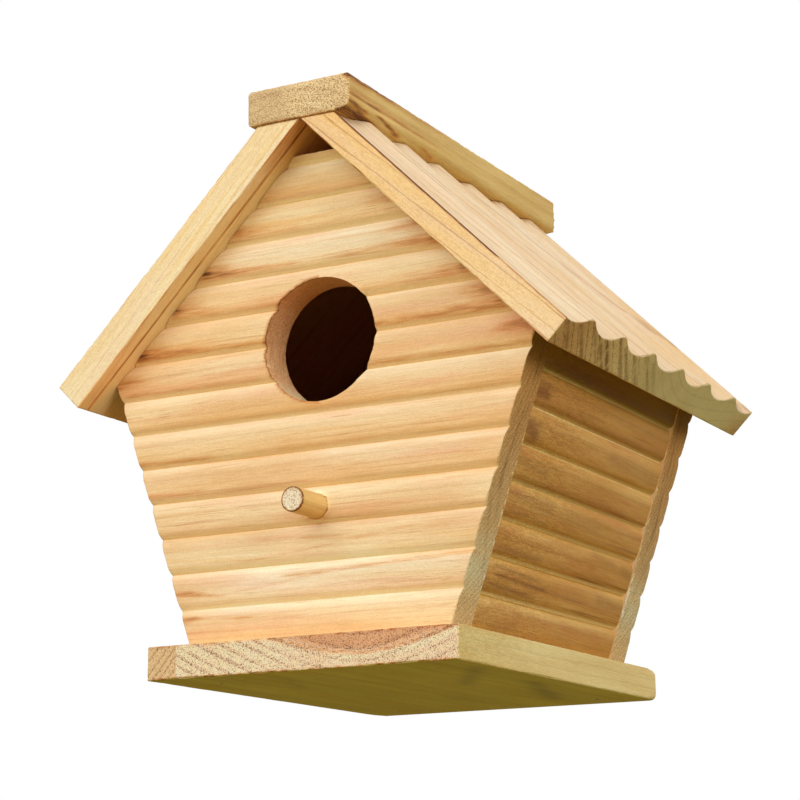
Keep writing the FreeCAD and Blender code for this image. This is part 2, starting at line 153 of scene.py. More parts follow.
def smooth_noise(points, seed):
    """Smooth noise from -1 to 1 at points given in cells of the noise."""
    base = np.floor(points).astype(np.int64)
    share = points - base
    share = share * share * (3 - 2 * share)
    total = np.zeros(len(points))
    for corner in np.ndindex(2, 2, 2):
        cell = (base + corner) * np.array([73856093, 19349663, 83492791])
        mixed = np.bitwise_xor.reduce(cell, axis=1) + seed * 7919
        mixed = (mixed ^ (mixed >> 13)) * 1274126177
        level = ((mixed ^ (mixed >> 16)) & 0xFFFF) / 32767.5 - 1
        weight = np.where(corner, share, 1 - share).prod(1)
        total += weight * level
    return total


def patchy(points, reach, seed, lift, least=0.0):
    """Soft patches of the given reach, from the least to 1; lift says how much they cover."""
    return np.clip(smooth_noise(points / reach, seed) + lift, least, 1)


def strokes(points, marks):
    """Soft strokes added up: a mark's row is two ends, its reach on each axis, and a strength."""
    total = np.zeros(len(points))
    for *places, strength in marks:
        start, end, reach = np.reshape(np.array(places, float), (3, -1))
        way = end - start
        share = np.clip((points - start) @ way / max(way @ way, 1e-9), 0, 1)
        away = (points - start - share[:, None] * way) / reach
        total += strength * np.exp(-(away ** 2).sum(1))
    return total


def lattice(*axes):
    """The outer points of a box-shaped lattice, one row each, and the quads that close it."""
    counts = [len(axis) for axis in axes]
    places = np.indices(counts)
    outer = np.zeros(counts, bool)
    for place, count in zip(places, counts):
        outer |= (place == 0) | (place == count - 1)
    number = np.full(counts, -1)
    number[outer] = np.arange(outer.sum())
    points = np.stack([axis[place[outer]] for axis, place in zip(axes, places)], 1)
    quads = []
    for axis in range(3):
        for end in (0, -1):
            sheet = np.take(number, end, axis=axis)
            loop = [sheet[:-1, :-1], sheet[1:, :-1], sheet[1:, 1:], sheet[:-1, 1:]]
            if (end == 0) != (axis == 1):
                loop.reverse()
            quads.append(np.stack(loop, -1).reshape(-1, 4))
    return points, np.concatenate(quads)


EDGE_STEPS = np.array([0, 0.12, 0.28, 0.5, 0.8, 1.2])


def steps(low, high, pitch):
    """Places from low to high, a pitch apart and closer at both ends."""
    first, last = low + EDGE_STEPS[-1], high - EDGE_STEPS[-1]
    middle = np.linspace(first, last, max(2, round((last - first) / pitch) + 1))
    return np.concatenate([low + EDGE_STEPS[:-1], middle, high - EDGE_STEPS[-2::-1]])


def groove_rows(top):
    """Heights up a grooved board of the given top, with a row on every valley and flank."""
    rows = list(steps(0, top, 0.55))
    course = GROOVE_FIRST
    while course + UPPER_FLANK < top:
        rows += [course, course + 0.15, course - 0.15, course + UPPER_FLANK, course - LOWER_FLANK]
        course += GROOVE_PITCH
    rows = np.unique(np.round(rows, 3))
    return rows[np.concatenate([[True], np.diff(rows) > 0.1])]


def groove(rise, top):
    """How deep the milled grooves lie at heights above a board's foot; top is the board's top."""
    count = math.floor((top - GROOVE_FIRST - UPPER_FLANK) / GROOVE_PITCH) + 1
    course = np.clip(np.floor((rise - GROOVE_FIRST + LOWER_FLANK) / GROOVE_PITCH), 0, count - 1)
    above = rise - GROOVE_FIRST - course * GROOVE_PITCH
    depth = np.zeros(len(rise))
    for flank, away in ((UPPER_FLANK, above), (LOWER_FLANK, -above)):
        radius = (flank ** 2 + GROOVE_DEPTH ** 2) / (2 * GROOVE_DEPTH)
        reach = np.clip(flank - away, 0, flank)
        inside = (away >= 0) & (away < flank)
        depth[inside] = (radius - np.sqrt(radius ** 2 - reach ** 2))[inside]
    return depth


def cove(along, first_crest):
    """How far the coves lie below the crests, at distances from a panel's front end."""
    half = COVE_PITCH / 2
    sine = math.sin(2 * math.atan(2 * COVE_DEPTH / COVE_PITCH))
    radius = half / sine - CREST_RADIUS
    away = abs((along - first_crest + half) % COVE_PITCH - half)
    crest = CREST_RADIUS - np.sqrt(np.maximum(CREST_RADIUS ** 2 - away ** 2, 0))
    bottom = COVE_DEPTH - radius + np.sqrt(radius ** 2 - (half - away) ** 2)
    return np.where(away < CREST_RADIUS * sine, crest, bottom)


def linked(name, data):
    """A new object in the scene."""
    made = bpy.data.objects.new(name, data)
    bpy.context.scene.collection.objects.link(made)
    return made


def new_mesh(name, points, faces):
    """A mesh object of points in millimetres, smooth shaded."""
    mesh = bpy.data.meshes.new(name)
    mesh.from_pydata((points * MM).tolist(), [], faces)
    mesh.validate()
    mesh.shade_smooth()
    return linked(name, mesh)


def mesh_points(piece):
    """A piece's points and outward directions, in millimetres."""
    count = len(piece.data.vertices)
    places, normals = np.zeros(count * 3), np.zeros(count * 3)
    piece.data.vertices.foreach_get("co", places)
    piece.data.vertices.foreach_get("normal", normals)
    return places.reshape(-1, 3) / MM, normals.reshape(-1, 3)


def set_attribute(piece, name, values):
    """Stores one number or one vector for each point of a piece."""
    vectors = values.ndim == 2
    kind = "FLOAT_VECTOR" if vectors else "FLOAT"
    layer = piece.data.attributes.new(name, kind, "POINT")
    layer.data.foreach_set("vector" if vectors else "value", values.astype(np.float32).ravel())


def unit(vector):
    vector = np.array(vector, float)
    return vector / np.linalg.norm(vector)


def log_places(points, pith, along, across, sag=None):
    """Where points lie in the log: along the grain, and across it from the pith.

    pith is a point on the pith's line, and along and across are directions. With a sag, the rings
    are not round: pith is their lowest point, and they fall towards it and climb from it with the
    sag's first two slopes, and are flat over its width."""
    along = unit(along)
    across = unit(across - np.dot(across, along) * along)
    places = (points - pith) @ np.stack([along, across, np.cross(along, across)], 1)
    if sag:
        fall, climb, width = sag
        side, up = places[:, 1], places[:, 2]
        level = up - (fall + climb) / 2 * np.hypot(side, width) - (climb - fall) / 2 * side
        places = columns(places[:, 0], 500 - level, side)
    return places


def add_grain(piece, pith, along, across, sag=None, strip=None):
    """Stores where each point lies in the log, and how much of an end grain it shows.

    strip is the pith and sag of the narrow board glued on at the floor's left."""
    points, normals = mesh_points(piece)
    places = log_places(points, pith, along, across, sag)
    if strip:
        glued = points[:, 0] < FLOOR_SEAM
        places[glued] = log_places(points[glued], strip[0], along, across, strip[1])
    set_attribute(piece, "grain", places)
    set_attribute(piece, "end", np.clip(abs(normals @ unit(along)) * 1.6 - 0.5, 0, 1))


def eased(points, low, high, radius):
    """Points of a box with its arrises rounded, and how near each lies to an arris, from 0 to 1."""
    deep = np.clip(1 - np.minimum(points - low, high - points) / radius, 0, 1)
    length = np.linalg.norm(deep, axis=1)
    shrink = np.where(length > 0, deep.max(1) / np.maximum(length, 1e-9), 1)
    side = np.where(points - low < high - points, -1, 1)
    moved = points + side * radius * deep * (shrink[:, None] - 1)
    return moved, np.sort(deep, axis=1)[:, 1]


def arris_radius(points, seed, middle=0.3, spread=0.15):
    """The radius that a board's arrises are rounded to, which differs along them."""
    return middle + spread * smooth_noise(points / 9, seed)


def wear(piece, arris, depth, scale, seed):
    """Nicks the arrises: a point near one moves in by up to the depth."""
    points, normals = mesh_points(piece)
    coarse = smooth_noise(points / scale, seed)
    fine = smooth_noise(points / (scale * 0.35), seed + 1)
    nick = np.clip(0.45 * coarse + 0.35 * fine + 0.15, 0, 1)
    points -= normals * (nick * np.sqrt(arris) * depth)[:, None]
    piece.data.vertices.foreach_set("co", (points * MM).astype(np.float32).ravel())
    piece.data.update()
    return piece


def turned(piece, centre_y):
    """Turns a piece half round the upright line at x = 0 and the given y."""
    turn = Matrix.Rotation(math.pi, 4, "Z")
    turn.translation = Vector((0, 2 * centre_y * MM, 0))
    piece.data.transform(turn)
    piece.data.update()


def mirrored(piece):
    """Turns a piece into its mirror image about x = 0."""
    piece.data.transform(Matrix.Diagonal((-1, 1, 1, 1)))
    piece.data.flip_normals()
    piece.data.update()


def cut(piece, *cutters):
    """Takes the cutters' space out of a piece."""
    for cutter in cutters:
        taken = piece.modifiers.new("cut", "BOOLEAN")
        taken.operation = "DIFFERENCE"
        taken.solver = "EXACT"
        taken.object = cutter
        with bpy.context.temp_override(object=piece, active_object=piece):
            bpy.ops.object.modifier_apply(modifier=taken.name)
        bpy.data.objects.remove(cutter)
    piece.data.set_sharp_from_angle(angle=math.radians(50))


def circle(sides):
    """The angles of points evenly round a circle."""
    return np.linspace(0, 2 * math.pi, sides, endpoint=False)


def tube(name, radii, stations, origin, way, side_way=X_WAY):
    """A closed solid of revolution about the line from the origin along the way.

    radii holds one row of radii round the circle for each station along the line."""
    sides = len(radii[0])
    angles = circle(sides)
    way = unit(way)
    side_way = unit(np.array(side_way) - np.dot(side_way, way) * way)
    rings = [columns(radius * np.cos(angles), radius * np.sin(angles), station)
             for radius, station in zip(radii, stations)]
    points = np.concatenate(rings + [[[0, 0, stations[0]]], [[0, 0, stations[-1]]]])
    points = points @ np.stack([side_way, np.cross(way, side_way), way]) + origin
    around = np.arange(len(stations) * sides).reshape(-1, sides)
    after = np.roll(around, -1, 1)
    quads = np.stack([around[:-1], after[:-1], after[1:], around[1:]], -1).reshape(-1, 4)
    fans = [*columns(after[0], around[0], around.size).tolist(),
            *columns(around[-1], after[-1], around.size + 1).tolist()]
    return new_mesh(name, points, quads.tolist() + fans)


def half_width(height):
    """The gable walls' half width at heights above the floor board's underside."""
    leaning = FOOT_HALF + (height - FOOT) * math.tan(LEAN)
    sloping = (APEX - height) / math.tan(PITCH)
    return np.minimum(leaning, sloping)


def gable_wall(name, seed):
    """A gable wall with its outer face towards -Y, in the front wall's place."""
    heights = np.unique(np.concatenate([FOOT + groove_rows(WALL_RISE), [EAVE_HEIGHT]]))
    points, faces = lattice(steps(-58, 58, 0.9) / 58, steps(0, WALL, 1.0), heights)
    share, depth, height = points.T
    outer = groove(height - FOOT, WALL_RISE)
    half = half_width(height)
    flat = columns(share * half, FRONT_LOW[1] + outer + depth * (WALL - outer) / WALL, height)
    low = columns(-half, FRONT_LOW[1] + outer, FOOT)
    high = columns(half, FRONT_HIGH[1], FRONT_HIGH[2])
    rounded, arris = eased(flat, low, high, arris_radius(flat, seed)[:, None])
    piece = new_mesh(name, rounded, faces)
    return wear(piece, arris * np.where(depth > WALL / 2, 1.0, 0.6), 0.7, 1.4, seed)


def side_wall(name, seed):
    """The right side wall."""
    reach = math.cos(LEAN) + math.sin(LEAN) * math.tan(PITCH)
    top = (APEX - FOOT - SIDE_FOOT_HALF * math.tan(PITCH)) / reach
    slip = (math.cos(LEAN) * math.tan(PITCH) - math.sin(LEAN)) / reach
    points, faces = lattice(steps(0, WALL, 1.0), steps(SIDE_LOW[1], SIDE_HIGH[1], 1.0),
                            groove_rows(top))
    depth, along, rise = points.T
    outer = groove(rise, top)
    depth = outer + (WALL - depth) * (WALL - outer) / WALL
    low_end = -depth * math.tan(LEAN)
    high_end = top + depth * slip
    flat = columns(-depth, along, low_end + rise / top * (high_end - low_end))
    low = columns(-WALL, SIDE_LOW[1], low_end)
    high = columns(-outer, SIDE_HIGH[1], high_end)
    radius = arris_radius(flat, seed)
    rounded, arris = eased(flat, low, high, columns(radius, 0.05, radius))
    piece = new_mesh(name, rounded @ LEAN_WAYS + SIDE_ORIGIN, faces)
    inner = np.minimum(rounded[:, 1] - SIDE_LOW[1], SIDE_HIGH[1] - rounded[:, 1]) > 0.3
    return wear(piece, arris * inner, 0.3, 1.6, seed)


def roof_panel(name, first_crest, seed):
    """The right roof panel, or with the other crest the left one before it is turned half round."""
    points, faces = lattice(steps(0, ROOF_LENGTH, 1.2) / ROOF_LENGTH, steps(0, ROOF_DEPTH, 0.5),
                            steps(0, ROOF_THICKNESS, 0.45) / ROOF_THICKNESS)
    down, along, up = points.T
    thick = ROOF_THICKNESS - cove(along, first_crest)
    height = up * thick
    start = height / math.tan(PITCH)
    flat = columns(start + down * (ROOF_LENGTH - start), along, height)
    rounded, arris = eased(flat, columns(start, 0, 0), columns(ROOF_LENGTH, ROOF_DEPTH, thick),
                           arris_radius(flat, seed)[:, None])
    piece = new_mesh(name, rounded @ PITCH_WAYS + ROOF_ORIGIN, faces)
    return wear(piece, arris, 0.4, 1.6, seed)


def floor_board(name, seed):
    """The floor board; its rear corners are worn round."""
    across, along, up = (steps(low, high, pitch) for low, high, pitch in
                         zip(FLOOR_LOW, FLOOR_HIGH, (1.0, 1.2, 0.8)))
    seam = [FLOOR_SEAM - 0.05, FLOOR_SEAM + 0.05]
    across = np.sort(np.concatenate([across[abs(across - FLOOR_SEAM) > 0.3], seam]))
    points, faces = lattice(across, along, up)
    rear = ramp(points[:, 1], FLOOR_HIGH[1] - 8, FLOOR_HIGH[1] - 2)
    radius = arris_radius(points, seed, 0.4, 0.2) + 1.8 * rear
    rounded, arris = eased(points, FLOOR_LOW, FLOOR_HIGH, radius[:, None])

    # Points near the rear upright arrises are bent to a round of this reach
    reach = 2.4
    centre = FLOOR_HIGH[:2] - reach
    side = np.where(rounded[:, :1] < 0, [-1, 1], [1, 1])
    away = np.clip((rounded[:, :2] * side - centre) / reach, 0, None)
    inside = (away > 0).all(1)
    shrink = away.max(1) / np.maximum(np.linalg.norm(away, axis=1), 1e-9)
    bent = (centre + away * shrink[:, None] * reach) * side
    rounded[inside, :2] = bent[inside]
    piece = new_mesh(name, rounded, faces)
    return wear(piece, arris * np.where(points[:, 1] < 0, 1.0, 0.5), 0.8, 1.2, seed)


def ridge_cap(name, seed):
    """The ridge cap: its lower right arris is rounded, and its rear end is torn."""
    points, faces = lattice(*(steps(low, high, pitch) for low, high, pitch in
                              zip(CAP_LOW, CAP_HIGH, (0.8, 1.2, 0.27))))
    across, along, up = points.T
    back = (along - CAP_LOW[1]) / (CAP_HIGH[1] - CAP_LOW[1])
    lower_right = (across > 0) & (up < CAP_HIGH[2] - 4)
    section = np.where(lower_right, 3.5 - 2.3 * back, 1.2)
    rounded, arris = eased(points, CAP_LOW, CAP_HIGH, columns(section, 0.6, section))
    waves = np.sin(up * 2.6 + across * 0.3)
    splinters = np.clip(waves + smooth_noise(points / [1.6, 50, 1.1], seed + 2), 0, 1)
    splinters *= np.clip((CAP_HIGH[2] - 3.5 - up) / 1.5, 0.1, 1)
    rounded[:, 1] -= 1.4 * ramp(along, CAP_HIGH[1] - 5, CAP_HIGH[1]) * (1 - splinters)
    return wear(new_mesh(name, rounded, faces), arris, 0.5, 1.4, seed)


def perch_dowel(name):
    """The perch: a dowel with a broken arris and a slightly hollow end."""
    length = PERCH_HIGH[1] - PERCH_LOW[1]
    wobble = 0.995 + 0.005 * np.cos(circle(72) * 3 + 1)
    outline = [(station, 1.0) for station in np.linspace(0, length - 0.8, 30)]
    outline += [(length - 0.35, 0.995), (length - 0.12, 0.98), (length - 0.02, 0.955)]
    outline += [(length - 0.05, share) for share in (0.86, 0.72, 0.52, 0.33, 0.14)]
    rows = [PERCH_RADIUS * share * wobble for _, share in outline]
    centre = [PERCH_MIDDLE[0], PERCH_HIGH[1], PERCH_MIDDLE[2]]
    return tube(name, rows, [station for station, _ in outline], centre, -Y_WAY)


def entrance_cutter():
    """The entrance's drill: its wall is torn where it leaves across the grain, at the sides."""
    around = circle(240)
    stations = np.concatenate([[-2], np.linspace(-0.2, WALL + 0.3, 26), [WALL + 2]])
    rows = []
    for station in stations:
        ring = columns(np.cos(around) * ENTRANCE_RADIUS, np.sin(around) * ENTRANCE_RADIUS, station)
        torn = smooth_noise(ring / 0.8, 5) * 0.15 + smooth_noise(ring / 2.4, 6) * 0.15
        torn *= 0.12 + 0.88 * np.cos(around) ** 2
        chipped = np.clip(-np.cos(around - 0.3), 0, 1) * math.exp(-max(station, 0) / 1.6)
        chips = smooth_noise(ring * [1, 1, 0.3] / 1.1, 8) + smooth_noise(ring / 5, 9)
        rows.append(ENTRANCE_RADIUS - 0.05 + torn + chipped * 0.8 * np.clip(chips * 0.8 + 0.2, 0, 1))
    centre = [ENTRANCE_OFFSET, FRONT_LOW[1], FOOT + ENTRANCE_RISE]
    return tube("entrance_cutter", rows, stations, centre, Y_WAY)


def socket_cutter():
    """The torn fibres round the mouth of the perch's socket, cut a little way into the wall."""
    around = circle(72)
    ring = columns(np.cos(around), np.sin(around), 0.0) * 4
    torn = np.clip(smooth_noise(ring / 1.1, 15) + 0.1 + 0.5 * np.cos(around - 0.7), 0, 1)
    rows = [PERCH_RADIUS + 0.06 + 0.6 * torn * share for share in (1.0, 1.0, 0.5, 0.0)]
    centre = [PERCH_MIDDLE[0], FRONT_LOW[1], PERCH_MIDDLE[2]]
    return tube("socket_cutter", rows, [-1.0, 0.0, 0.35, 0.6], centre, Y_WAY)


def plain_cutter(name, centre, way, radius, depth, out):
    """A round cutter that reaches the depth into the wood and runs out of it."""
    return tube(name, [np.full(24, radius)] * 2, [-depth, out], centre, way, (0.3, 1, 0.2))


def brad_heads(node, way):
    """The middles of a node's brad heads: the tips of its solids towards a direction."""
    points = node_points(node)
    high = points[points @ way > (points @ way).max() - 0.3]
    heads = []
    for point in high:
        if all(np.linalg.norm(point - other[0]) > 4 for other in heads):
            heads.append([point])
        else:
            min(heads, key=lambda group: np.linalg.norm(point - group[0])).append(point)
    return [(np.min(group, 0) + np.max(group, 0)) / 2 for group in heads]


def brad_pits(node, way, face):
    """The cutters of the small holes above a node's sunk brads; face is a point on the face."""
    return [plain_cutter("pit", np.where(way, face, head), way, BRAD_PIT_RADIUS,
                         BRAD_PIT_DEPTH + 0.01, 1.0) for head in brad_heads(node, way)]


class Value:
    """A number, or a vector or colour, in a material: calculating with it adds nodes."""

    def __init__(self, tree, socket, vector):
        self.tree, self.socket, self.vector = tree, socket, vector

    def step(self, operation, *others):
        """The result of one more node, of this value and others."""
        kind = "VectorMath" if self.vector else "Math"
        items = enumerate((self, *others))
        return self.tree.node(kind, items, vector=self.vector, operation=operation)

    def __add__(self, other):
        return self.step("ADD", other)

    def __sub__(self, other):
        return self.step("SUBTRACT", other)

    def __mul__(self, other):
        return self.step("MULTIPLY", other)

    def __truediv__(self, other):
        return self.step("DIVIDE", other)

    def length(self):
        return self.tree.node("VectorMath", [(0, self)], "Value", operation="LENGTH")

    def noise(self, scale, detail, roughness, seed):
        """Noise about 0.5 at this place; scale is its cells to a unit along each axis."""
        inputs = [("Vector", self * scale), ("W", seed), ("Scale", 1.0), ("Detail", detail),
                  ("Roughness", roughness)]
        return self.tree.node("TexNoise", inputs, "Fac", noise_dimensions="4D")

    def line_noise(self, scale, seed):
        """Noise that depends on this number only."""
        return self.tree.joined(self).noise((scale, 1, 1), 1.0, 0.5, seed)

    def span(self, low, high, to_low=0.0, to_high=1.0):
        """This number taken softly from one range to another, and held there."""
        inputs = [("Value", self), ("From Min", low), ("From Max", high), ("To Min", to_low),
                  ("To Max", to_high)]
        return self.tree.node("MapRange", inputs, "Result", interpolation_type="SMOOTHSTEP")

    def mix(self, first, second):
        """A colour between two colours, with this number as the share of the second."""
        inputs = [(0, self), (6, first), (7, second)]
        return self.tree.node("Mix", inputs, 2, True, data_type="RGBA")

    def toned(self, share, spread):
        """This colour darker and warmer, or lighter and cooler, as the share goes from 0 to 1."""
        low, high = ((*(1 + sign * spread * way for way in (0.8, 1.0, 1.3)), 1)
                     for sign in (-1, 1))
        return self * share.mix(low, high)

    def stretched(self, factor):
        """This number about 0.5, taken further from it or nearer to it by a factor."""
        return (self - 0.5) * factor + 0.5


class Tree:
    """The node tree of a material or a world, built with one call for each node."""

    def __init__(self, owner):
        self.owner = owner
        owner.use_nodes = True
        self.nodes, self.links = owner.node_tree.nodes, owner.node_tree.links
        self.nodes.clear()

    def node(self, kind, inputs=(), output=0, vector=False, **settings):
        """Adds a node and returns one of its outputs, if it has any."""
        made = self.nodes.new("ShaderNode" + kind)
        for name, setting in settings.items():
            setattr(made, name, setting)
        for name, item in inputs:
            if isinstance(item, Value):
                self.links.new(item.socket, made.inputs[name])
            else:
                made.inputs[name].default_value = item
        return Value(self, made.outputs[output], vector) if made.outputs else None

    def attribute(self, name):
        return self.node("Attribute", (), "Fac", attribute_name=name)

    def vector_attribute(self, name):
        return self.node("Attribute", (), "Vector", True, attribute_name=name)

    def joined(self, *numbers):
        """A vector of numbers; those left out are 0."""
        return self.node("CombineXYZ", enumerate(numbers), vector=True)

    def bump(self, height, strength, distance):
        inputs = [("Height", height), ("Strength", strength), ("Distance", distance)]
        return self.node("Bump", inputs)

    def finish(self, shader, inputs, output="OutputMaterial"):
        """Adds the last shader, and returns the material or world."""
        self.node(output, [(0, self.node(shader, inputs))])
        return self.owner


def screen(red, green, blue):
    """A colour from its values on a screen, 0 to 255, as the renderer's linear values."""
    levels = np.array([red, green, blue]) / 255
    linear = np.where(levels <= 0.04045, levels / 12.92, ((levels + 0.055) / 1.055) ** 2.4)
    return (*linear, 1.0)


# The dark brown of strong stains and of painted shadow
STAIN_AND_SHADE_BROWN = screen(92, 42, 14)
PLAIN = (1, 1, 1, 1)


def pine(name, seed, colours, ring=3.6, late=0.45, end_late=0.62, rings=0.5, end_rings=0.5,
         streaks=0.5, dashes=0.5, speckle=(0.40, 0.60), cells=(1.0, 1.0), courses=None):
    """Solid pine, drawn in the log's own axes: rings about the pith, fibres along the grain.

    ring is a year's width in millimetres, late and end_late where its late wood begins, and cells
    how fine the end grain is two ways; rings, end_rings, streaks and dashes are strengths. courses
    holds, for the courses between grooves, the browner tone and painted shade at their feet and the
    painted highlights along their tops and valleys. The attribute honey asks for that colour, and
    bite makes a face rougher, up to 1, or smoother, down to -1."""
    pale, mid, dark, honey, rosy, end_pale, end_dark = (screen(*colour) for colour in colours)
    tree = Tree(bpy.data.materials.new(name))
    place = tree.vector_attribute("grain")
    end, bite = tree.attribute("end"), tree.attribute("bite")

    # Year rings, bent by the log's slow waver and uneven in width and strength
    waver = [place.noise((0.006, 0.02, 0.02), 1.0, 0.5, seed + more) * 6.0 - 3.0
             for more in (0, 3)]
    bent = place + tree.joined(0.0, *waver)
    jitter = bent.noise((0.03, 0.5, 0.5), 3.0, 0.6, seed + 1)
    turns = (bent * (0.0, 1.0, 1.0)).length() / ring + jitter * 0.5
    turns = turns + turns.line_noise(0.43, seed + 9) * 1.5
    phase = turns.step("FRACT")
    strength = turns.step("FLOOR").line_noise(1.0, seed + 4).span(0.35, 0.65, 0.25, 1.0)
    strength = strength * tree.attribute("lines") * phase.span(1.0, 0.95)
    line, end_line = (phase.span(start, 0.97) * strength for start in (late, end_late))

    # Long grain: clouds, honey and rosy bands, streaks, dashes and a fine fibrous texture
    clouds = bent.noise((0.014, 0.09, 0.09), 3.0, 0.55, seed + 6)
    base = clouds.span(0.36, 0.64).mix(pale, mid)
    bands = bent.noise((0.012, 0.3, 0.3), 3.0, 0.6, seed + 7).span(0.5, 0.7) * 0.6
    base = bands.step("MAXIMUM", tree.attribute("honey")).mix(base, honey)
    blush = bent.noise((0.016, 0.16, 0.16), 3.0, 0.6, seed + 16)
    base = blush.span(0.48, 0.68, 0.0, 0.75).mix(base, rosy)
    where = bent.noise((0.01, 0.05, 0.05), 1.0, 0.5, seed + 12).span(0.38, 0.62, 0.25, 1.0)
    streak = bent.noise((0.018, 0.9, 0.9), 3.0, 0.62, seed + 8).span(0.54, 0.68)
    streak = streak * where * streaks
    hair = bent.noise((0.03, 3.0, 3.0), 2.0, 0.6, seed + 17).span(0.54, 0.7, 0.0, 0.42)
    dash = bent.noise((0.07, 3.6, 3.6), 1.0, 0.5, seed + 13).span(0.67, 0.72)
    dash = dash * where * dashes

    if courses:
        # Each course is browner towards its foot, where the streaks gather, with painted shade there,
        # and carries a painted highlight along its top
        rise = tree.attribute("rise")
        course = rise / GROOVE_PITCH + (1 - GROOVE_FIRST / GROOVE_PITCH)
        above = course.step("FRACT")
        frayed = place.noise((0.03, 0.45, 0.45), 3.0, 0.6, seed + 21)
        level = above - 0.175 + frayed * 0.35
        foot = level.span(courses["foot_top"], 0.08)
        foot = foot * rise.span(*courses["foot_from"], 0.55, 1.0)
        shade = course.step("FLOOR").line_noise(1.7, seed + 20).span(0.3, 0.7)
        base = base * shade.mix((0.99, 0.94, 0.9, 1), (1.02, 1.04, 1.03, 1))
        # Painted shade and browner tone towards each course's foot
        base = base * foot.mix(PLAIN, courses["foot"])
        # Painted highlight along each course's top
        base = base * above.span(0.66, 0.97).mix(PLAIN, courses["crest"])
        streak = streak * (foot * 0.8 + 0.35)
    base = streak.step("MAXIMUM", line * rings).mix(base, dark)
    base = hair.mix(base, base * (0.86, 0.76, 0.62))
    base = dash.mix(base, base * (0.62, 0.34, 0.18))
    if courses:
        # Painted highlight at each course's valley
        base = above.span(0.13, 0.02).mix(base, courses["valley"])
    fuzz = place.noise((0.25, 2.0, 2.0), 3.0, 0.72, seed + 2)
    grit = place.noise((1.6, 2.6, 2.6), 2.0, 0.7, seed + 18)
    rougher = bite * 2.0 + 1.0
    base = base.toned(fuzz.stretched(rougher), 0.15).toned(grit.stretched(rougher), 0.18)

    # End grain: darker, with rings and a coarse speckle of open cells
    speck = place.noise((0.8, *(2.1 * cell for cell in cells)), 2.0, 0.85, seed + 5)
    fine = place.noise((0.8, *(4.6 * cell for cell in cells)), 1.0, 0.5, seed + 14)
    speck = speck * 0.7 + fine * 0.3
    end_line = end_line * end_rings * speck.span(0.42, 0.58, 1.0, 0.35)
    specks = (speck - end_line * 0.12).span(*speckle).stretched(bite + 1.0)
    end_base = (end_line * 0.8).mix(specks.mix(end_dark, end_pale), end_dark)
    base = end.mix(base, end_base.toned(clouds, 0.2))

    # Marks given one by one: tints, and stains and painted shade that follow the fibres, reddish
    # where they are weak and dark brown where they are strong
    base = base * tree.vector_attribute("tint")
    fibres = place.noise((0.1, 1.1, 1.1), 3.0, 0.65, seed + 11)
    darkening = tree.attribute("stain_and_shade") * fibres.span(0.3, 0.64, 0.45, 1.2)
    base = darkening.span(0.0, 0.55).mix(base, base * (0.84, 0.6, 0.42))
    base = darkening.span(0.3, 1.3, 0.0, 0.9).mix(base, STAIN_AND_SHADE_BROWN).step("MINIMUM", (1, 1, 1))

    relief = [(0, end), (2, line * 0.25 + fuzz + grit * 0.5), (3, speck * 2.4)]
    bump = tree.bump(tree.node("Mix", relief, data_type="FLOAT"), 0.5, 0.0003)
    return tree.finish("BsdfPrincipled", [
        ("Base Color", base), ("Roughness", end * 0.16 + fuzz.span(0.3, 0.7, 0.66, 0.54)),
        ("Normal", bump), ("Specular IOR Level", 0.3)])


def steel(name):
    """Bright nail wire with fine scratches and a little tarnish."""
    tree = Tree(bpy.data.materials.new(name))
    place = tree.node("TexCoord", (), "Object", True)
    scratch = place.noise((9000.0, 1500.0, 1500.0), 2.0, 0.6, 1.0)
    tarnish = place.noise((900.0, 900.0, 900.0), 3.0, 0.6, 2.0)
    return tree.finish("BsdfPrincipled", [
        ("Base Color", tarnish.span(0.4, 0.65).mix(screen(196, 196, 198), screen(128, 116, 100))),
        ("Metallic", 1.0), ("Roughness", scratch.span(0.3, 0.7, 0.28, 0.5)),
        ("Normal", tree.bump(scratch, 0.3, 0.00002))])


# Each wood's colours are its pale early wood, mid wood, dark late wood, honey, rosy bands, and the
# pale and the dark of its end grain
FRONT_PINE = dict(
    colours=[(252, 224, 178), (241, 200, 146), (198, 128, 70), (240, 192, 126), (245, 197, 154),
             (232, 204, 148), (178, 136, 84)],
    ring=1.7, late=0.6, rings=0.2, end_rings=0.7, streaks=0.6, dashes=0.6, speckle=(0.34, 0.66),
    cells=(1.5, 1.5),
    # The courses' painted shade and browner tone at their feet, and their painted highlights
    courses=dict(foot=(0.95, 0.82, 0.63, 1), foot_top=0.8, foot_from=(30, 65),
                 crest=(1.02, 1.08, 1.18, 1), valley=screen(255, 218, 160)))
# The side walls' wood: a darker, warmer copy of the front's, which paints part of their shade, and
# stronger painted highlights on the courses
SHADED_SIDE_PINE = dict(
    FRONT_PINE,
    colours=[(221, 169, 93), (205, 148, 70), (132, 78, 30), (202, 134, 60), (202, 132, 66),
             *FRONT_PINE["colours"][5:]],
    ring=2.4, streaks=0.55,
    # The courses' painted shade and browner tone at their feet, and their painted highlights
    courses=dict(foot=(0.88, 0.83, 0.55, 1), foot_top=0.62, foot_from=(-2, -1),
                 crest=(1.22, 1.36, 1.48, 1), valley=screen(255, 222, 158)))
ROOF_PINE = dict(
    colours=[(247, 223, 184), (241, 208, 160), (170, 106, 56), (243, 197, 126), (242, 207, 166),
             (212, 178, 112), (96, 58, 22)],
    ring=3.8, late=0.82, end_late=0.74, rings=0.7, end_rings=0.9, streaks=0.15, dashes=0.3,
    speckle=(0.26, 0.56), cells=(1.2, 1.2))
FLOOR_PINE = dict(
    colours=[(248, 226, 160), (240, 210, 140), (190, 150, 80), (236, 200, 124), (236, 206, 138),
             (255, 234, 190), (96, 38, 10)],
    ring=3.4, late=0.62, end_late=0.5, rings=0.3, end_rings=0.55, streaks=0.35, dashes=0.15,
    speckle=(0.405, 0.468), cells=(1.25, 1.25))
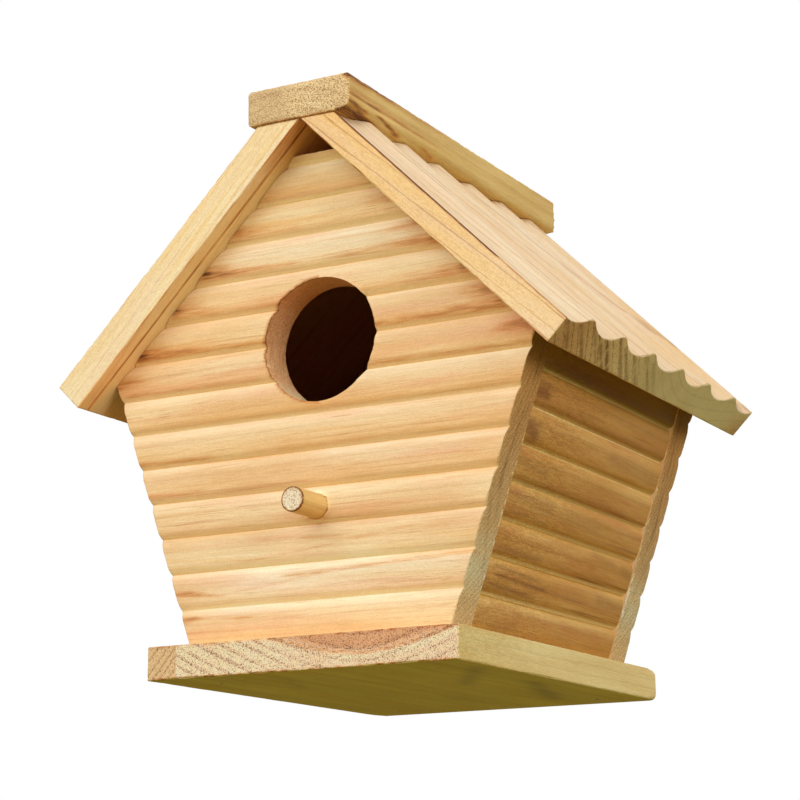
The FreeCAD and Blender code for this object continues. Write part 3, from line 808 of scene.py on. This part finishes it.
CAP_PINE = dict(
    colours=[(242, 204, 134), (228, 186, 112), (170, 118, 56), (220, 172, 96), (222, 180, 110),
             (255, 224, 168), (144, 86, 38)],
    rings=0.25, end_rings=0.3, streaks=0.3, speckle=(0.42, 0.515), cells=(0.85, 1.9))
DOWEL_WOOD = dict(
    colours=[(240, 204, 134), (230, 188, 112), (180, 122, 56), (222, 166, 88), (230, 184, 110),
             (255, 239, 206), (186, 140, 98)],
    ring=1.2, rings=0.25, end_rings=0.3, streaks=0.4, speckle=(0.38, 0.52))
front_pine = pine("pine_front", 1.0, **FRONT_PINE)
shaded_side_pine = pine("pine_side_shaded", 21.0, **SHADED_SIDE_PINE)
roof_pine = pine("pine_roof", 41.0, **ROOF_PINE)
floor_pine = pine("pine_floor", 61.0, **FLOOR_PINE)
cap_pine = pine("pine_cap", 81.0, **CAP_PINE)
dowel_wood = pine("dowel", 91.0, **DOWEL_WOOD)
brad_steel = steel("nail_wire")


def finish_piece(piece, node, slot, material, **painted):
    """Gives a piece its material, its painted attributes and its place in the frame."""
    piece.data.materials.clear()
    piece.data.materials.append(material)
    count = len(piece.data.vertices)
    set_attribute(piece, "tint", painted.get("tint", np.ones((count, 3))))
    set_attribute(piece, "lines", painted.get("lines", np.ones(count)))
    for name in ("stain_and_shade", "honey", "rise", "bite"):
        set_attribute(piece, name, painted.get(name, np.zeros(count)))
    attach(piece, BODY)
    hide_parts(node)


def indoors(points):
    """Which points lie on the nest's inner faces."""
    inner = FOOT_HALF + (points[:, 2] - FOOT) * math.tan(LEAN) - WALL / math.cos(LEAN)
    return (abs(points[:, 1]) < BACK_LOW[1] + 0.3) & (abs(points[:, 0]) < inner + 0.3) & (
        points[:, 2] > FOOT - 0.6)


UNCHANGED = (1, 1, 1)
# Painted shade on the nest's inner faces, where little light gets in
INDOOR_SHADE_TINT = (0.72, 0.5, 0.42)
# Painted shadow of the eave, dark and olive, on the walls' tops under the roof
SHADE_TINT = (0.43, 0.47, 0.24)

MARKS = np.random.default_rng(5)

# Brown marks at the grooves' ends under the roof: the side of the gable, the course above the floor,
# the distance above its valley, the dark core's strength and the red halo's
FRONT_GROOVE_END_MARKS = [
    (-1, 10, 4.0, 0.5, 0.25), (-1, 9, 3.7, 1.1, 0.35), (-1, 8, 4.2, 1.0, 0.35),
    (-1, 7, 2.8, 1.5, 0.45), (-1, 6, 5.0, 0.4, 0.4), (1, 10, 6.5, 0.5, 0.3),
    (1, 9, 8.4, 0.5, 0.35), (1, 9, 2.8, 0.7, 0.2), (1, 8, 4.0, 0.9, 0.35), (1, 7, 7.3, 0.3, 0.5),
    (1, 7, 3.8, 0.8, 0.3), (1, 6, 6.1, 0.5, 0.6)]

# Brown bands along the courses' feet: the course, both ends across the gable, the distance
# above its valley, and the strength
FRONT_BANDS = [
    (10, -28, -8, 2.4, 0.3), (10, 2, 24, 3.0, 0.2), (9, -37, -10, 2.4, 0.35),
    (9, 12, 40, 2.6, 0.3), (8, -48, -14, 1.9, 0.3), (8, 14, 50, 2.0, 0.25),
    (7, -56, -19, 1.8, 0.35), (7, 21, 60, 1.9, 0.5), (7, 22, 46, 3.6, 0.25), (6, 19, 68, 1.3, 0.4),
    (6, -66, -20, 1.6, 0.25), (5, -60, 62, 1.6, 0.15), (4, -62, -40, 1.4, 0.4),
    (4, -10, 52, 1.5, 0.22), (3, -58, -42, 2.4, 0.3)]

# Thin dark streaks on the low courses: both ends across the gable and up, and the strength
FRONT_STREAKS = [
    (-9, 29.4, 52, 31.5, 0.45), (-26, 25.9, 0, 29.0, 0.3), (-53, 27.7, -46, 27.2, 0.4),
    (-53, 26.7, -42, 26.2, 0.4), (-44, 26.2, -34, 25.2, 0.35), (-50, 18.8, -44, 18.8, 0.4),
    (-52, 17.8, -46, 17.9, 0.25), (-42, 19.1, -24, 18.2, 0.35), (-24, 17.6, -8, 17.2, 0.25),
    (-28, 34.2, 5, 37.4, 0.3), (-2, 40.0, 6, 39.6, 0.35), (14, 38.6, 33, 40.6, 0.25),
    (18, 15.4, 46, 17.2, 0.2), (-44, 14.6, -28, 14.2, 0.25)]

# Lit, pale and brown strokes on the low courses: both ends across the gable and up, the reach
# across and up, and the strength
LIT_STROKES = [
    (-52, 31.5, 52, 32.0, 6, 1.0, 0.1), (-45, 20.6, 45, 20.6, 6, 0.8, 0.06)]
PALE_STROKES = [
    (-16, 27, 42, 27, 16, 5.0, 0.85), (-40, 21, -25, 21, 10, 5.0, 0.35),
    (-45, 35, 45, 35, 14, 1.9, 0.4), (14, 34.6, 42, 34.6, 5, 1.8, 0.4),
    (14, 29, 42, 29, 5, 2.0, 0.3), (-25, 127, 28, 127, 9, 4.5, 0.6),
    (5, 63.5, 45, 63.5, 8, 2.5, 0.35)]
BROWN_STROKES = [
    (-16, 40.5, 40, 40.5, 10, 2.6, 0.5), (-48, 41.5, -20, 41.5, 8, 2.0, 0.3),
    (18, 47, 42, 48, 8, 3.2, 0.6)]

# Late wood on the gable walls' end grain at the sides: both ends back from the face and up, the
# reach back and up, and the strength
STRIP_LINES = [
    (8.2, 86, 4.8, 52, 0.5, 3, 0.8), (10, 82, 7.6, 58, 0.4, 3, 0.5),
    (5.2, 54, 7.6, 45, 0.5, 3, 0.5), (2.8, 45, 11.4, 22, 0.5, 1.2, 0.45),
    (6.0, 88, 2.6, 62, 0.4, 3, 0.35)]


def face_marks(groove_end_marks, bands, streaks):
    """The strokes of the marks on a gable wall. A groove-end mark is a dark core at the edge with a
    red halo and a streak beside it."""
    valley = FOOT + GROOVE_FIRST
    marks = []
    for side, course, above, core, halo in groove_end_marks:
        height = valley + course * GROOVE_PITCH + above
        edge = side * half_width(height)
        away = edge - side * MARKS.uniform(9, 15)
        streak = (away, height + MARKS.uniform(-0.8, 0.6))
        marks += [(*(edge - side * 0.5, height) * 2, 2.4, 1.3, 0.8 * core),
                  (*(edge - side * 5, height + 0.4) * 2, 6.5, 2.4, halo),
                  (*streak * 2, MARKS.uniform(8, 16), 0.8, 0.3 * core)]
    for course, left, right, above, strength in bands:
        height = valley + course * GROOVE_PITCH + above
        marks.append((left, height, right, height, 5, 1.0, strength))
    return marks + [(*ends, 4, 0.6, strength) for *ends, strength in streaks]


def gable_paint(piece, front_y, groove_end_marks, bands, streaks, entrance):
    """Stains, tints, and painted light and shade of a gable wall's face, its end grain at the sides
    and its openings.
    """
    points, normals = mesh_points(piece)
    across, height = points[:, 0], points[:, 2]
    rise = height - FOOT
    face = columns(across, height)
    deep = abs(points[:, 1] - front_y)
    stain_and_shade = strokes(face, face_marks(groove_end_marks, bands, streaks)) * peak(deep, 5)
    tint, bite, lines = np.ones((len(points), 3)), np.zeros(len(points)), np.ones(len(points))

    # The end grain at the sides: shaded under the roof, with late wood and torn chips
    strip = (abs(across) > half_width(height) - 0.7) & (abs(normals[:, 0]) > 0.72)
    bite[strip], lines[strip] = 0.6, 1.7
    lower = ramp(height, 88, 28) ** 1.5
    tint[strip] = blend(lower, (1.0, 0.75, 0.48), (1.26, 1.33, 1.42))[strip]
    # Painted shadow of the roof on the end grain's top
    shaded = strip & (height < EAVE_HEIGHT + 1)
    shade = 1 / (1 + np.exp(-(height - 84.5) / 1.6))
    tint[shaded] *= blend(shade, UNCHANGED, SHADE_TINT)[shaded]
    late = strokes(columns(deep, height), STRIP_LINES)
    tint *= fading(late * patchy(points, [3, 1.5, 5], 94, 0.9, 0.3) * strip, [0.7, 0.8, 0.9])
    chips = smooth_noise(points / [3, 0.8, 1.6], 93) > 0.25
    tint[chips & strip & (deep > WALL - 1.1) & (abs(height - 44) < 22)] *= (1.7, 1.9, 2.3)
    # Painted shade on the inner faces
    tint[indoors(points)] = INDOOR_SHADE_TINT
    if entrance:
        # The wall of the entrance, lit with painted light, most towards its foot, and redder towards
        # its top; its torn rim; and the ring round the perch's socket, with a painted shadow of the
        # perch below
        upper = rise - ENTRANCE_RISE
        away = np.hypot(across - ENTRANCE_OFFSET, upper)
        inside = deep - groove(rise, WALL_RISE) > 0.35
        hole = (away < ENTRANCE_RADIUS + 0.9) & inside
        share = ramp(upper, -ENTRANCE_RADIUS, ENTRANCE_RADIUS) ** 2
        # Painted light on the entrance's wall, brightest at its foot
        tint[hole] = blend(share, (1.95, 1.43, 1.55), (1.06, 0.63, 0.49))[hole]
        bite[hole] = 1.0
        rim = peak(away - ENTRANCE_RADIUS, 0.6) * ~inside
        leftward = across < ENTRANCE_OFFSET
        stain_and_shade += 0.75 * rim * leftward
        tint *= 1 + 0.1 * (rim * ~leftward)[:, None]
        ring = np.hypot(across - PERCH_MIDDLE[0], height - PERCH_MIDDLE[2])
        # Painted shadow of the perch below its socket
        stain_and_shade += 0.3 * ramp(height, PERCH_MIDDLE[2], PERCH_MIDDLE[2] - 4) * peak(ring - 4.5, 1.2)
        tint *= 1 + 0.3 * peak(ring - 4.1, 0.6)[:, None]
    tint *= 1 + strokes(face, LIT_STROKES)[:, None]
    tint *= blend(strokes(face, PALE_STROKES), UNCHANGED, (1.07, 1.32, 1.72))
    tint *= blend(strokes(face, BROWN_STROKES), UNCHANGED, (0.86, 0.7, 0.56))
    tint *= blend((height - 130) / 15, UNCHANGED, (0.98, 1.06, 1.05))
    tint *= 1 - 0.16 * peak(rise, 0.8)[:, None]
    return dict(stain_and_shade=stain_and_shade, tint=tint, rise=rise, bite=bite, lines=lines)


front = gable_wall("front_siding", 11)
cut(front, entrance_cutter(), socket_cutter())
add_grain(front, [0, -147, 117], X_WAY, Z_WAY)
finish_piece(front, "front_wall", "siding_pine", front_pine,
             **gable_paint(front, FRONT_LOW[1], FRONT_GROOVE_END_MARKS, FRONT_BANDS, FRONT_STREAKS, True))

back = gable_wall("back_siding", 31)
turned(back, 0)
hanger = plain_cutter("hanger", [0, BACK_HIGH[1], HANGING_HEIGHT], Y_WAY, HANGING_RADIUS,
                      WALL + 2, 2)
cut(back, hanger, *brad_pits("back_wall_brads", Y_WAY, BACK_HIGH))
add_grain(back, [0, -58, 125], X_WAY, Z_WAY)
finish_piece(back, "back_wall", "siding_pine", front_pine,
             **gable_paint(back, BACK_HIGH[1], FRONT_GROOVE_END_MARKS[1::2], FRONT_BANDS[::2], [], False))

# Marks of the right side wall: both ends along it and up it, the reach up it, and the strength
SIDE_MARKS = [
    (-47, 72.3, -43, 72.3, 2.2, 0.9), (-47, 61.5, -43, 60, 2.6, 0.9),
    (-46, 51, -30, 50.5, 1.2, 0.3), (-44, 37, -22, 36.4, 0.9, 0.35),
    (-44, 26, -20, 25.6, 0.9, 0.45), (-42, 20.8, -18, 19.8, 0.5, 0.6),
    (-40, 18.2, -12, 17.6, 0.5, 0.8), (-44, 15.4, -22, 14.8, 0.6, 0.6),
    (-46, 14, -16, 13.6, 1.6, 0.3), (-18, 17.6, 20, 17.2, 0.9, 0.2),
    (20, 32.5, 33, 31.5, 1.5, 0.3), (42, 30.5, 50, 29, 2.4, 0.3), (30, 19.2, 50, 18.4, 2.0, 0.35),
    (12, 62, 50, 60.6, 2.0, 0.28), (-40, 69.5, 50, 69, 1.8, 0.2), (-42, 46.8, 30, 46.8, 1.0, 0.2),
    (-8, 41, 16, 40.4, 2.2, 0.15), (-44, 42, -20, 41.5, 2.2, 0.25), (-44, 5.5, -24, 5, 1.6, 0.18),
    (-36, 3, -28, 3, 1.0, 0.3)]


def side_paint(piece, side):
    """The side walls carry a painted shadow under the eave, and are streaked and stained along some
    courses.
    """
    points, _ = mesh_points(piece)
    rise = (points * [side, 1, 1] - SIDE_ORIGIN) @ LEAN_WAYS[2]
    marks = strokes(columns(side * points[:, 1], rise),
                    [(*ends, 3, reach, strength) for *ends, reach, strength in SIDE_MARKS])
    # Painted shadow of the eave along the wall's top
    tint = blend(1 / (1 + np.exp(-(rise - 78.6) / 0.7)), UNCHANGED, SHADE_TINT)
    # Painted shade on the inner faces
    tint[indoors(points)] = INDOOR_SHADE_TINT
    tint *= blend((20 - rise) / 10, UNCHANGED, (1.0, 1.06, 1.16))
    tint *= fading(marks, [0.55, 0.5, 0.45])
    return dict(stain_and_shade=0.45 * marks, rise=rise, tint=tint, bite=2.0 * ramp(points[:, 1], 10, -30),
                honey=np.clip(0.12 - rise / 80, 0, 0.12))


right = side_wall("right_siding", 51)
add_grain(right, [-60, 0, 190], Y_WAY, Z_WAY)
finish_piece(right, "right_wall", "siding_pine", shaded_side_pine, **side_paint(right, 1))

left = side_wall("left_siding", 71)
mirrored(left)
add_grain(left, [60, 0, 10], Y_WAY, Z_WAY)
finish_piece(left, "left_wall", "siding_pine", shaded_side_pine, **side_paint(left, -1))

# Dark late wood on the right eave: both ends back from the panel's front and up from its
# underside, the reach along and up, and the strength
EAVE_LINES = [
    (2, 8, 11, 1, 1.0, 0.5, 0.9), (10, 8.5, 22, 0.5, 0.9, 0.5, 1.1),
    (17, 10, 31, 1, 0.9, 0.5, 0.7), (23, 8.5, 36, 0.5, 1.0, 0.5, 1.3),
    (27, 9, 40, 0.5, 1.1, 0.6, 1.6), (34, 11, 50, 0.5, 0.9, 0.5, 0.9),
    (41, 8.5, 55, 0.5, 0.9, 0.5, 0.7), (48, 8.5, 61, 0.5, 0.9, 0.5, 0.7),
    (54, 10, 70, 1, 0.9, 0.5, 0.5), (62, 8.5, 74, 1, 0.9, 0.5, 0.4)]


def roof_paint(piece, side):
    """Honey on the rakes and the underside, dark lines on the front arrises."""
    points, normals = mesh_points(piece)
    slope, front, height = ((points * [side, 1, 1] - ROOF_ORIGIN) @ PITCH_WAYS.T).T
    rake = abs(normals[:, 1]) > 0.7
    under = height < 0.3
    eave = normals @ (PITCH_WAYS[0] * [side, 1, 1]) > 0.8
    honey = np.where(under, 0.4, np.where(rake, 0.9 - slope / 300 if side > 0 else 0.15, 0.0))
    bands = [(*(side * 50, 52, 120) * 2, 90, 9, 90, 0.5), (*(side * 60, 20, 110) * 2, 90, 3, 90, 0.4)]
    honey = np.maximum(honey, strokes(points, bands))

    # Worn and burnt arrises, the mark of a tool across the underside, a darker front strip of the
    # underside, and painted shade on the underside near the apex
    top = height - height[front < 0.6].max()
    worn = patchy(points, 5, 77, 1.3) * np.where((slope > 8) & (slope < 84), 1.0, 0.35)
    stain_and_shade = (3.0 if side > 0 else 0.4) * peak(np.hypot(front, top), 0.4) * worn
    frayed = patchy(points, 7, 78, 0.2)
    stain_and_shade += (1.6 if side > 0 else 0.7) * peak(np.hypot(front, height), 0.4) * frayed
    stain_and_shade += 1.2 * under * peak(front - 5.0, 0.35)
    stain_and_shade += 0.15 * under * (front < 5) + 0.2 * under * peak(slope, 22)

    tint = np.full((len(points), 3), (0.92, 0.92, 0.94))
    tint[rake] = (1.09, 1.16, 1.17)
    if side > 0:
        tint[rake] = blend(slope / 110, (1.04, 1.02, 0.97), (1.06, 1.08, 1.12))[rake]
    tint[under] = blend((slope - 75) / 35, (1.02, 1.06, 1.0), (1.25, 0.98, 0.78))[under]
    # Painted shade on the underside near the apex
    tint[under] *= blend((22 - slope[under]) / 14, UNCHANGED, (0.78, 0.56, 0.36))
    tint[eave] = blend((front - 10) / 80, (1.02, 0.86, 0.84), (1.8, 2.32, 3.1))[eave]
    corner = peak(np.hypot(front - ROOF_DEPTH, height * 1.5), 11)
    tint *= 1 - (0.4 * corner * eave)[:, None] * np.array([0.5, 1.0, 1.4])
    # Painted shade on the underside inside the nest
    tint[under & indoors(points)] = INDOOR_SHADE_TINT

    # The eave's end grain: rough at the front and smooth at the rear
    lines = np.where(rake | under, 1.3 if side > 0 else 0.5, 1.0)
    bite = np.where(rake, 0.5, 0.0)
    smooth = np.clip((front[eave] - 40) / 40, 0, 0.85)
    lines[eave] = 1.2 * (1 - 0.7 * smooth)
    bite[eave] = np.clip(0.7 - front[eave] / 70, 0, 0.7) - smooth
    if side > 0:
        late = strokes(columns(front, height), EAVE_LINES)
        late *= patchy(points, [3, 1.6, 3], 79, 0.8, 0.2) * eave
        tint *= fading(late, [0.7, 0.85, 1.05])
    return dict(honey=honey, stain_and_shade=stain_and_shade, tint=tint, lines=lines, bite=bite)


DOWN_SLOPE, _, OUT_OF_ROOF = PITCH_WAYS
right_roof = roof_panel("right_roof", RIGHT_CREST, 91)
add_grain(right_roof, [0, 17, APEX], DOWN_SLOPE + 0.06 * OUT_OF_ROOF, Y_WAY, (0.68, 0.15, 14))
finish_piece(right_roof, "right_roof_panel", "roof_pine", roof_pine, **roof_paint(right_roof, 1))

left_roof = roof_panel("left_roof", LEFT_CREST, 111)
turned(left_roof, (ROOF_LOW[1] + ROOF_HIGH[1]) / 2)
add_grain(left_roof, [0, -20, APEX], (DOWN_SLOPE - 0.03 * OUT_OF_ROOF) * [-1, 1, 1], Y_WAY,
          (0.3, 0.6, 12))
finish_piece(left_roof, "left_roof_panel", "roof_pine", roof_pine, **roof_paint(left_roof, -1))

# The lowest point of the floor's year rings, which sag to the right of the middle, and the dark
# marks on its underside: both ends, the reach and the strength
SAG_LOW = np.array([21, 0, 4])
UNDER_MARKS = [
    (26, 45, 0, 42, -4, 0, 3, 6, 9, 0.3), (23, -12, 0, 46, -50, 0, 2.5, 5, 9, 0.25),
    (-24, -30, 0, -12, -58, 0, 2, 6, 9, 0.12)]


def floor_paint(piece):
    """The front end is pinkish with a brown upper band, and the underside dark olive with painted
    shade and green bounce light.
    """
    points, normals = mesh_points(piece)
    across, along, up = points.T
    front = normals[:, 1] < -0.5
    bottom = normals[:, 2] < -0.5
    side = abs(normals[:, 0]) > 0.5
    strip = across < FLOOR_SEAM
    tint = np.ones((len(points), 3))
    above = up - (np.hypot(across - SAG_LOW[0], 20) - 20) * 0.36 - SAG_LOW[2]
    pink = ramp(across, -25, 0)
    tint[front] = blend(pink, (1.1, 1.0, 1.01), (1.06, 0.93, 0.95))[front]
    brown = ramp(above, 0, 1.5) * ramp(across, -12, 2)
    tint[front] *= blend(brown, UNCHANGED, (0.8, 0.57, 0.45))[front]
    tint[front & strip] = (1.04, 0.86, 0.7)
    blotch = smooth_noise(points / [16, 30, 20], 89)
    # Painted shade and green bounce light on the underside
    tint[bottom] = blend(blotch * 0.5 + 0.5, (0.86, 0.84, 0.26), (0.76, 0.74, 0.21))[bottom]
    tint[bottom] *= 1 - strokes(points[bottom], UNDER_MARKS)[:, None]
    near = ramp(along, FLOOR_LOW[1], FLOOR_LOW[1] + 60)
    # Painted green bounce light on the sides, more olive towards the front
    tint[side] = blend(near, (0.88, 0.84, 0.72), UNCHANGED)[side]
    # Painted shade on the inner faces
    tint[indoors(points)] = INDOOR_SHADE_TINT
    tint[front] *= 1 + 0.12 * (peak(above + 1.5, 0.7) * ramp(across, -5, 5))[front][:, None]
    bite = np.where(side, 1.2 * (1 - near), np.where(strip, -0.3, 0.1))
    lines = np.where(front, np.where(strip, 1.4, 1.3 - 0.5 * pink), 1.0)
    ragged = patchy(points, [2.2, 50, 50], 88, 0.5, 0.2)
    stain_and_shade = (0.8 * peak(up - FLOOR_HIGH[2], 0.7) + 0.9 * peak(up - 0.2, 0.45)) * ragged
    stain_and_shade += 0.6 * peak(above, 0.5) * ramp(across, -16, -6)
    stain_and_shade *= front | (along < FLOOR_LOW[1] + 0.5)
    return dict(stain_and_shade=stain_and_shade, tint=tint, bite=bite, lines=lines)


floor = floor_board("floor_plank", 131)
cut(floor, *brad_pits("floor_brads", -Z_WAY, FLOOR_LOW))
add_grain(floor, SAG_LOW, -Y_WAY, X_WAY, (0.46, 0.4, 17), ([-20, 0, -40], (-1.2, 1.2, 3)))
finish_piece(floor, "floor_board", "floor_pine", floor_pine, **floor_paint(floor))

# Painted shadow, dark brown to red, under the round low on the front of the cap's right side, from
# its lower front corner: both ends, the reach and the strength
CAP_PAINTED_SHADOWS = [
    (0, 1, 2.4, 0, 8, 1.7, 6, 4, 0.8, 1.0), (0, 20, 2.4, 0, 30, 0.8, 6, 3, 0.6, 0.95),
    (0, 1, 0.4, 0, 16, 0.2, 9, 4, 0.7, 1.3), (0, 48, 1.1, 0, 54, 0.5, 6, 2, 0.6, 0.5)]


def cap_paint(piece):
    """Dark lines and a painted highlight along the rounded arris, painted shade and shadow on the
    right side, a worn upper arris, and a blotched end.
    """
    points, _ = mesh_points(piece)
    local = points - [CAP_HIGH[0], CAP_LOW[1], CAP_LOW[2]]
    across, back, up = local.T
    end = back < 0.4
    right_side = (across > -4.5) & (back > 0.4)
    fade = right_side * np.clip(1.2 - back / 60, 0, 1)
    worn = patchy(points, [9, 9, 3], 90, 0.7)
    stain_and_shade = fade * (peak(up - 4.6, 0.5) + 0.35 * peak(up - 6.0, 0.9))
    stain_and_shade += right_side * strokes(local, CAP_PAINTED_SHADOWS)
    top = peak(np.hypot(across, points[:, 2] - CAP_HIGH[2]), 1.9)
    stain_and_shade += top * (0.35 + 1.7 * ramp(back, 45, 0)) * worn
    stain_and_shade += 0.9 * peak(up, 0.4) * (back < 1) * worn
    tint = np.ones((len(points), 3))
    # Painted shade with a green cast on the right side
    tint[right_side] = (0.92, 0.96, 0.88)
    blotch = smooth_noise(points / [5, 50, 1.6] + points[:, :1] * [0, 0, 0.12], 95)
    tint *= 1 + 0.09 * (blotch * end)[:, None] * [0.8, 1.0, 1.3]
    # Painted highlight where the round starts, low on the right side near the front
    tint *= 1 + 0.14 * (peak(up - 3.3, 0.7) * fade)[:, None]
    bite = np.clip(points[:, 0] / 12 + 0.1, -0.4, 1.0) * end
    return dict(stain_and_shade=stain_and_shade, tint=tint, bite=bite)


cap = ridge_cap("cap_plank", 151)
cut(cap, *brad_pits("ridge_cap_brads", Z_WAY, CAP_HIGH))
add_grain(cap, [-6, 0, 128], Y_WAY, X_WAY)
finish_piece(cap, "ridge_cap", "cap_pine", cap_pine, **cap_paint(cap))


def perch_paint(piece):
    """A dark line round the perch's end, and honey below."""
    points, _ = mesh_points(piece)
    across, along, up = (points - PERCH_MIDDLE).T
    rim = peak(np.hypot(across, up) - 3.55, 0.28) * (points[:, 1] < PERCH_LOW[1] + 0.5)
    return dict(stain_and_shade=1.5 * rim, honey=np.clip(-up / 5, 0, 0.8))


perch = perch_dowel("perch_stick")
add_grain(perch, [1, 0, 48], Y_WAY, Z_WAY)
finish_piece(perch, "perch_dowel", "perch_wood", dowel_wood, **perch_paint(perch))

for name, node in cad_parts.items():
    if name.endswith("_brads"):
        for slot in node.material_slots:
            slot.material = brad_steel

# Camera: the photograph's viewpoint, fitted to the box's corners
CAMERA_PLACE = (331.8, -619.1, -69.8)
CAMERA_YAW = math.radians(28.538)
CAMERA_PITCH = math.radians(13.047)
CAMERA_ROLL = math.radians(-0.561)
FOCAL_PIXELS = 2255
FRAME_PIXELS = 800
SENSOR_WIDTH = 36.0


def add_camera():
    data = bpy.data.cameras.new("camera")
    data.sensor_width = SENSOR_WIDTH
    data.lens = FOCAL_PIXELS / FRAME_PIXELS * SENSOR_WIDTH
    data.clip_start, data.clip_end = 0.01, 20
    camera = linked("camera", data)
    turn = (Matrix.Rotation(CAMERA_YAW, 4, "Z") @ Matrix.Rotation(math.pi / 2 + CAMERA_PITCH, 4, "X")
            @ Matrix.Rotation(CAMERA_ROLL, 4, "Z"))
    camera.matrix_world = Matrix.Translation(Vector(CAMERA_PLACE) * MM) @ turn
    bpy.context.scene.camera = camera


BOX_MIDDLE = Vector((0, 0, 0.09))


def add_lamp(name, place, size, power):
    """A square area lamp that faces the middle of the box; place is in metres."""
    data = bpy.data.lights.new(name, "AREA")
    data.size, data.energy = size, power
    lamp = linked(name, data)
    lamp.location = place
    lamp.rotation_euler = (BOX_MIDDLE - Vector(place)).to_track_quat("-Z", "Y").to_euler()


def add_world():
    """White where the camera or a gloss sees it, and otherwise dim and a little warm."""
    tree = Tree(bpy.data.worlds.new("studio"))
    camera, gloss = (tree.node("LightPath", (), ray) for ray in ("Is Camera Ray", "Is Glossy Ray"))
    lit = tree.node("Background", [("Color", (1, 0.98, 0.95, 1)), ("Strength", 0.25)])
    shown = tree.node("Background", [("Color", PLAIN)])
    seen = [(0, camera.step("MAXIMUM", gloss)), (1, lit), (2, shown)]
    bpy.context.scene.world = tree.finish("MixShader", seen, "OutputWorld")


def add_stage():
    """A plain pale floor, below the camera because the photograph looks up at the box."""
    mesh = bpy.data.meshes.new("stage")
    reach, level = 4.0, -0.32
    mesh.from_pydata([(-reach, -reach, level), (reach, -reach, level), (reach, reach, level),
                      (-reach, reach, level)], [], [(0, 1, 2, 3)])
    ground = linked("stage", mesh)
    tree = Tree(bpy.data.materials.new("stage"))
    seen = tree.node("LightPath", (), "Is Camera Ray")
    tone = seen.mix((0.33, 0.285, 0.1, 1), (0.9, 0.9, 0.9, 1))
    mesh.materials.append(tree.finish("BsdfDiffuse", [("Color", tone)]))


add_camera()
add_lamp("key", (-0.25, -1.7, 0.85), 2.2, 30)
add_lamp("side", (1.6, -0.6, 0.55), 0.9, 12)
add_lamp("top", (0.7, 0.6, 1.7), 1.0, 8)
add_world()
add_stage()
bpy.context.scene.view_settings.view_transform = "Standard"
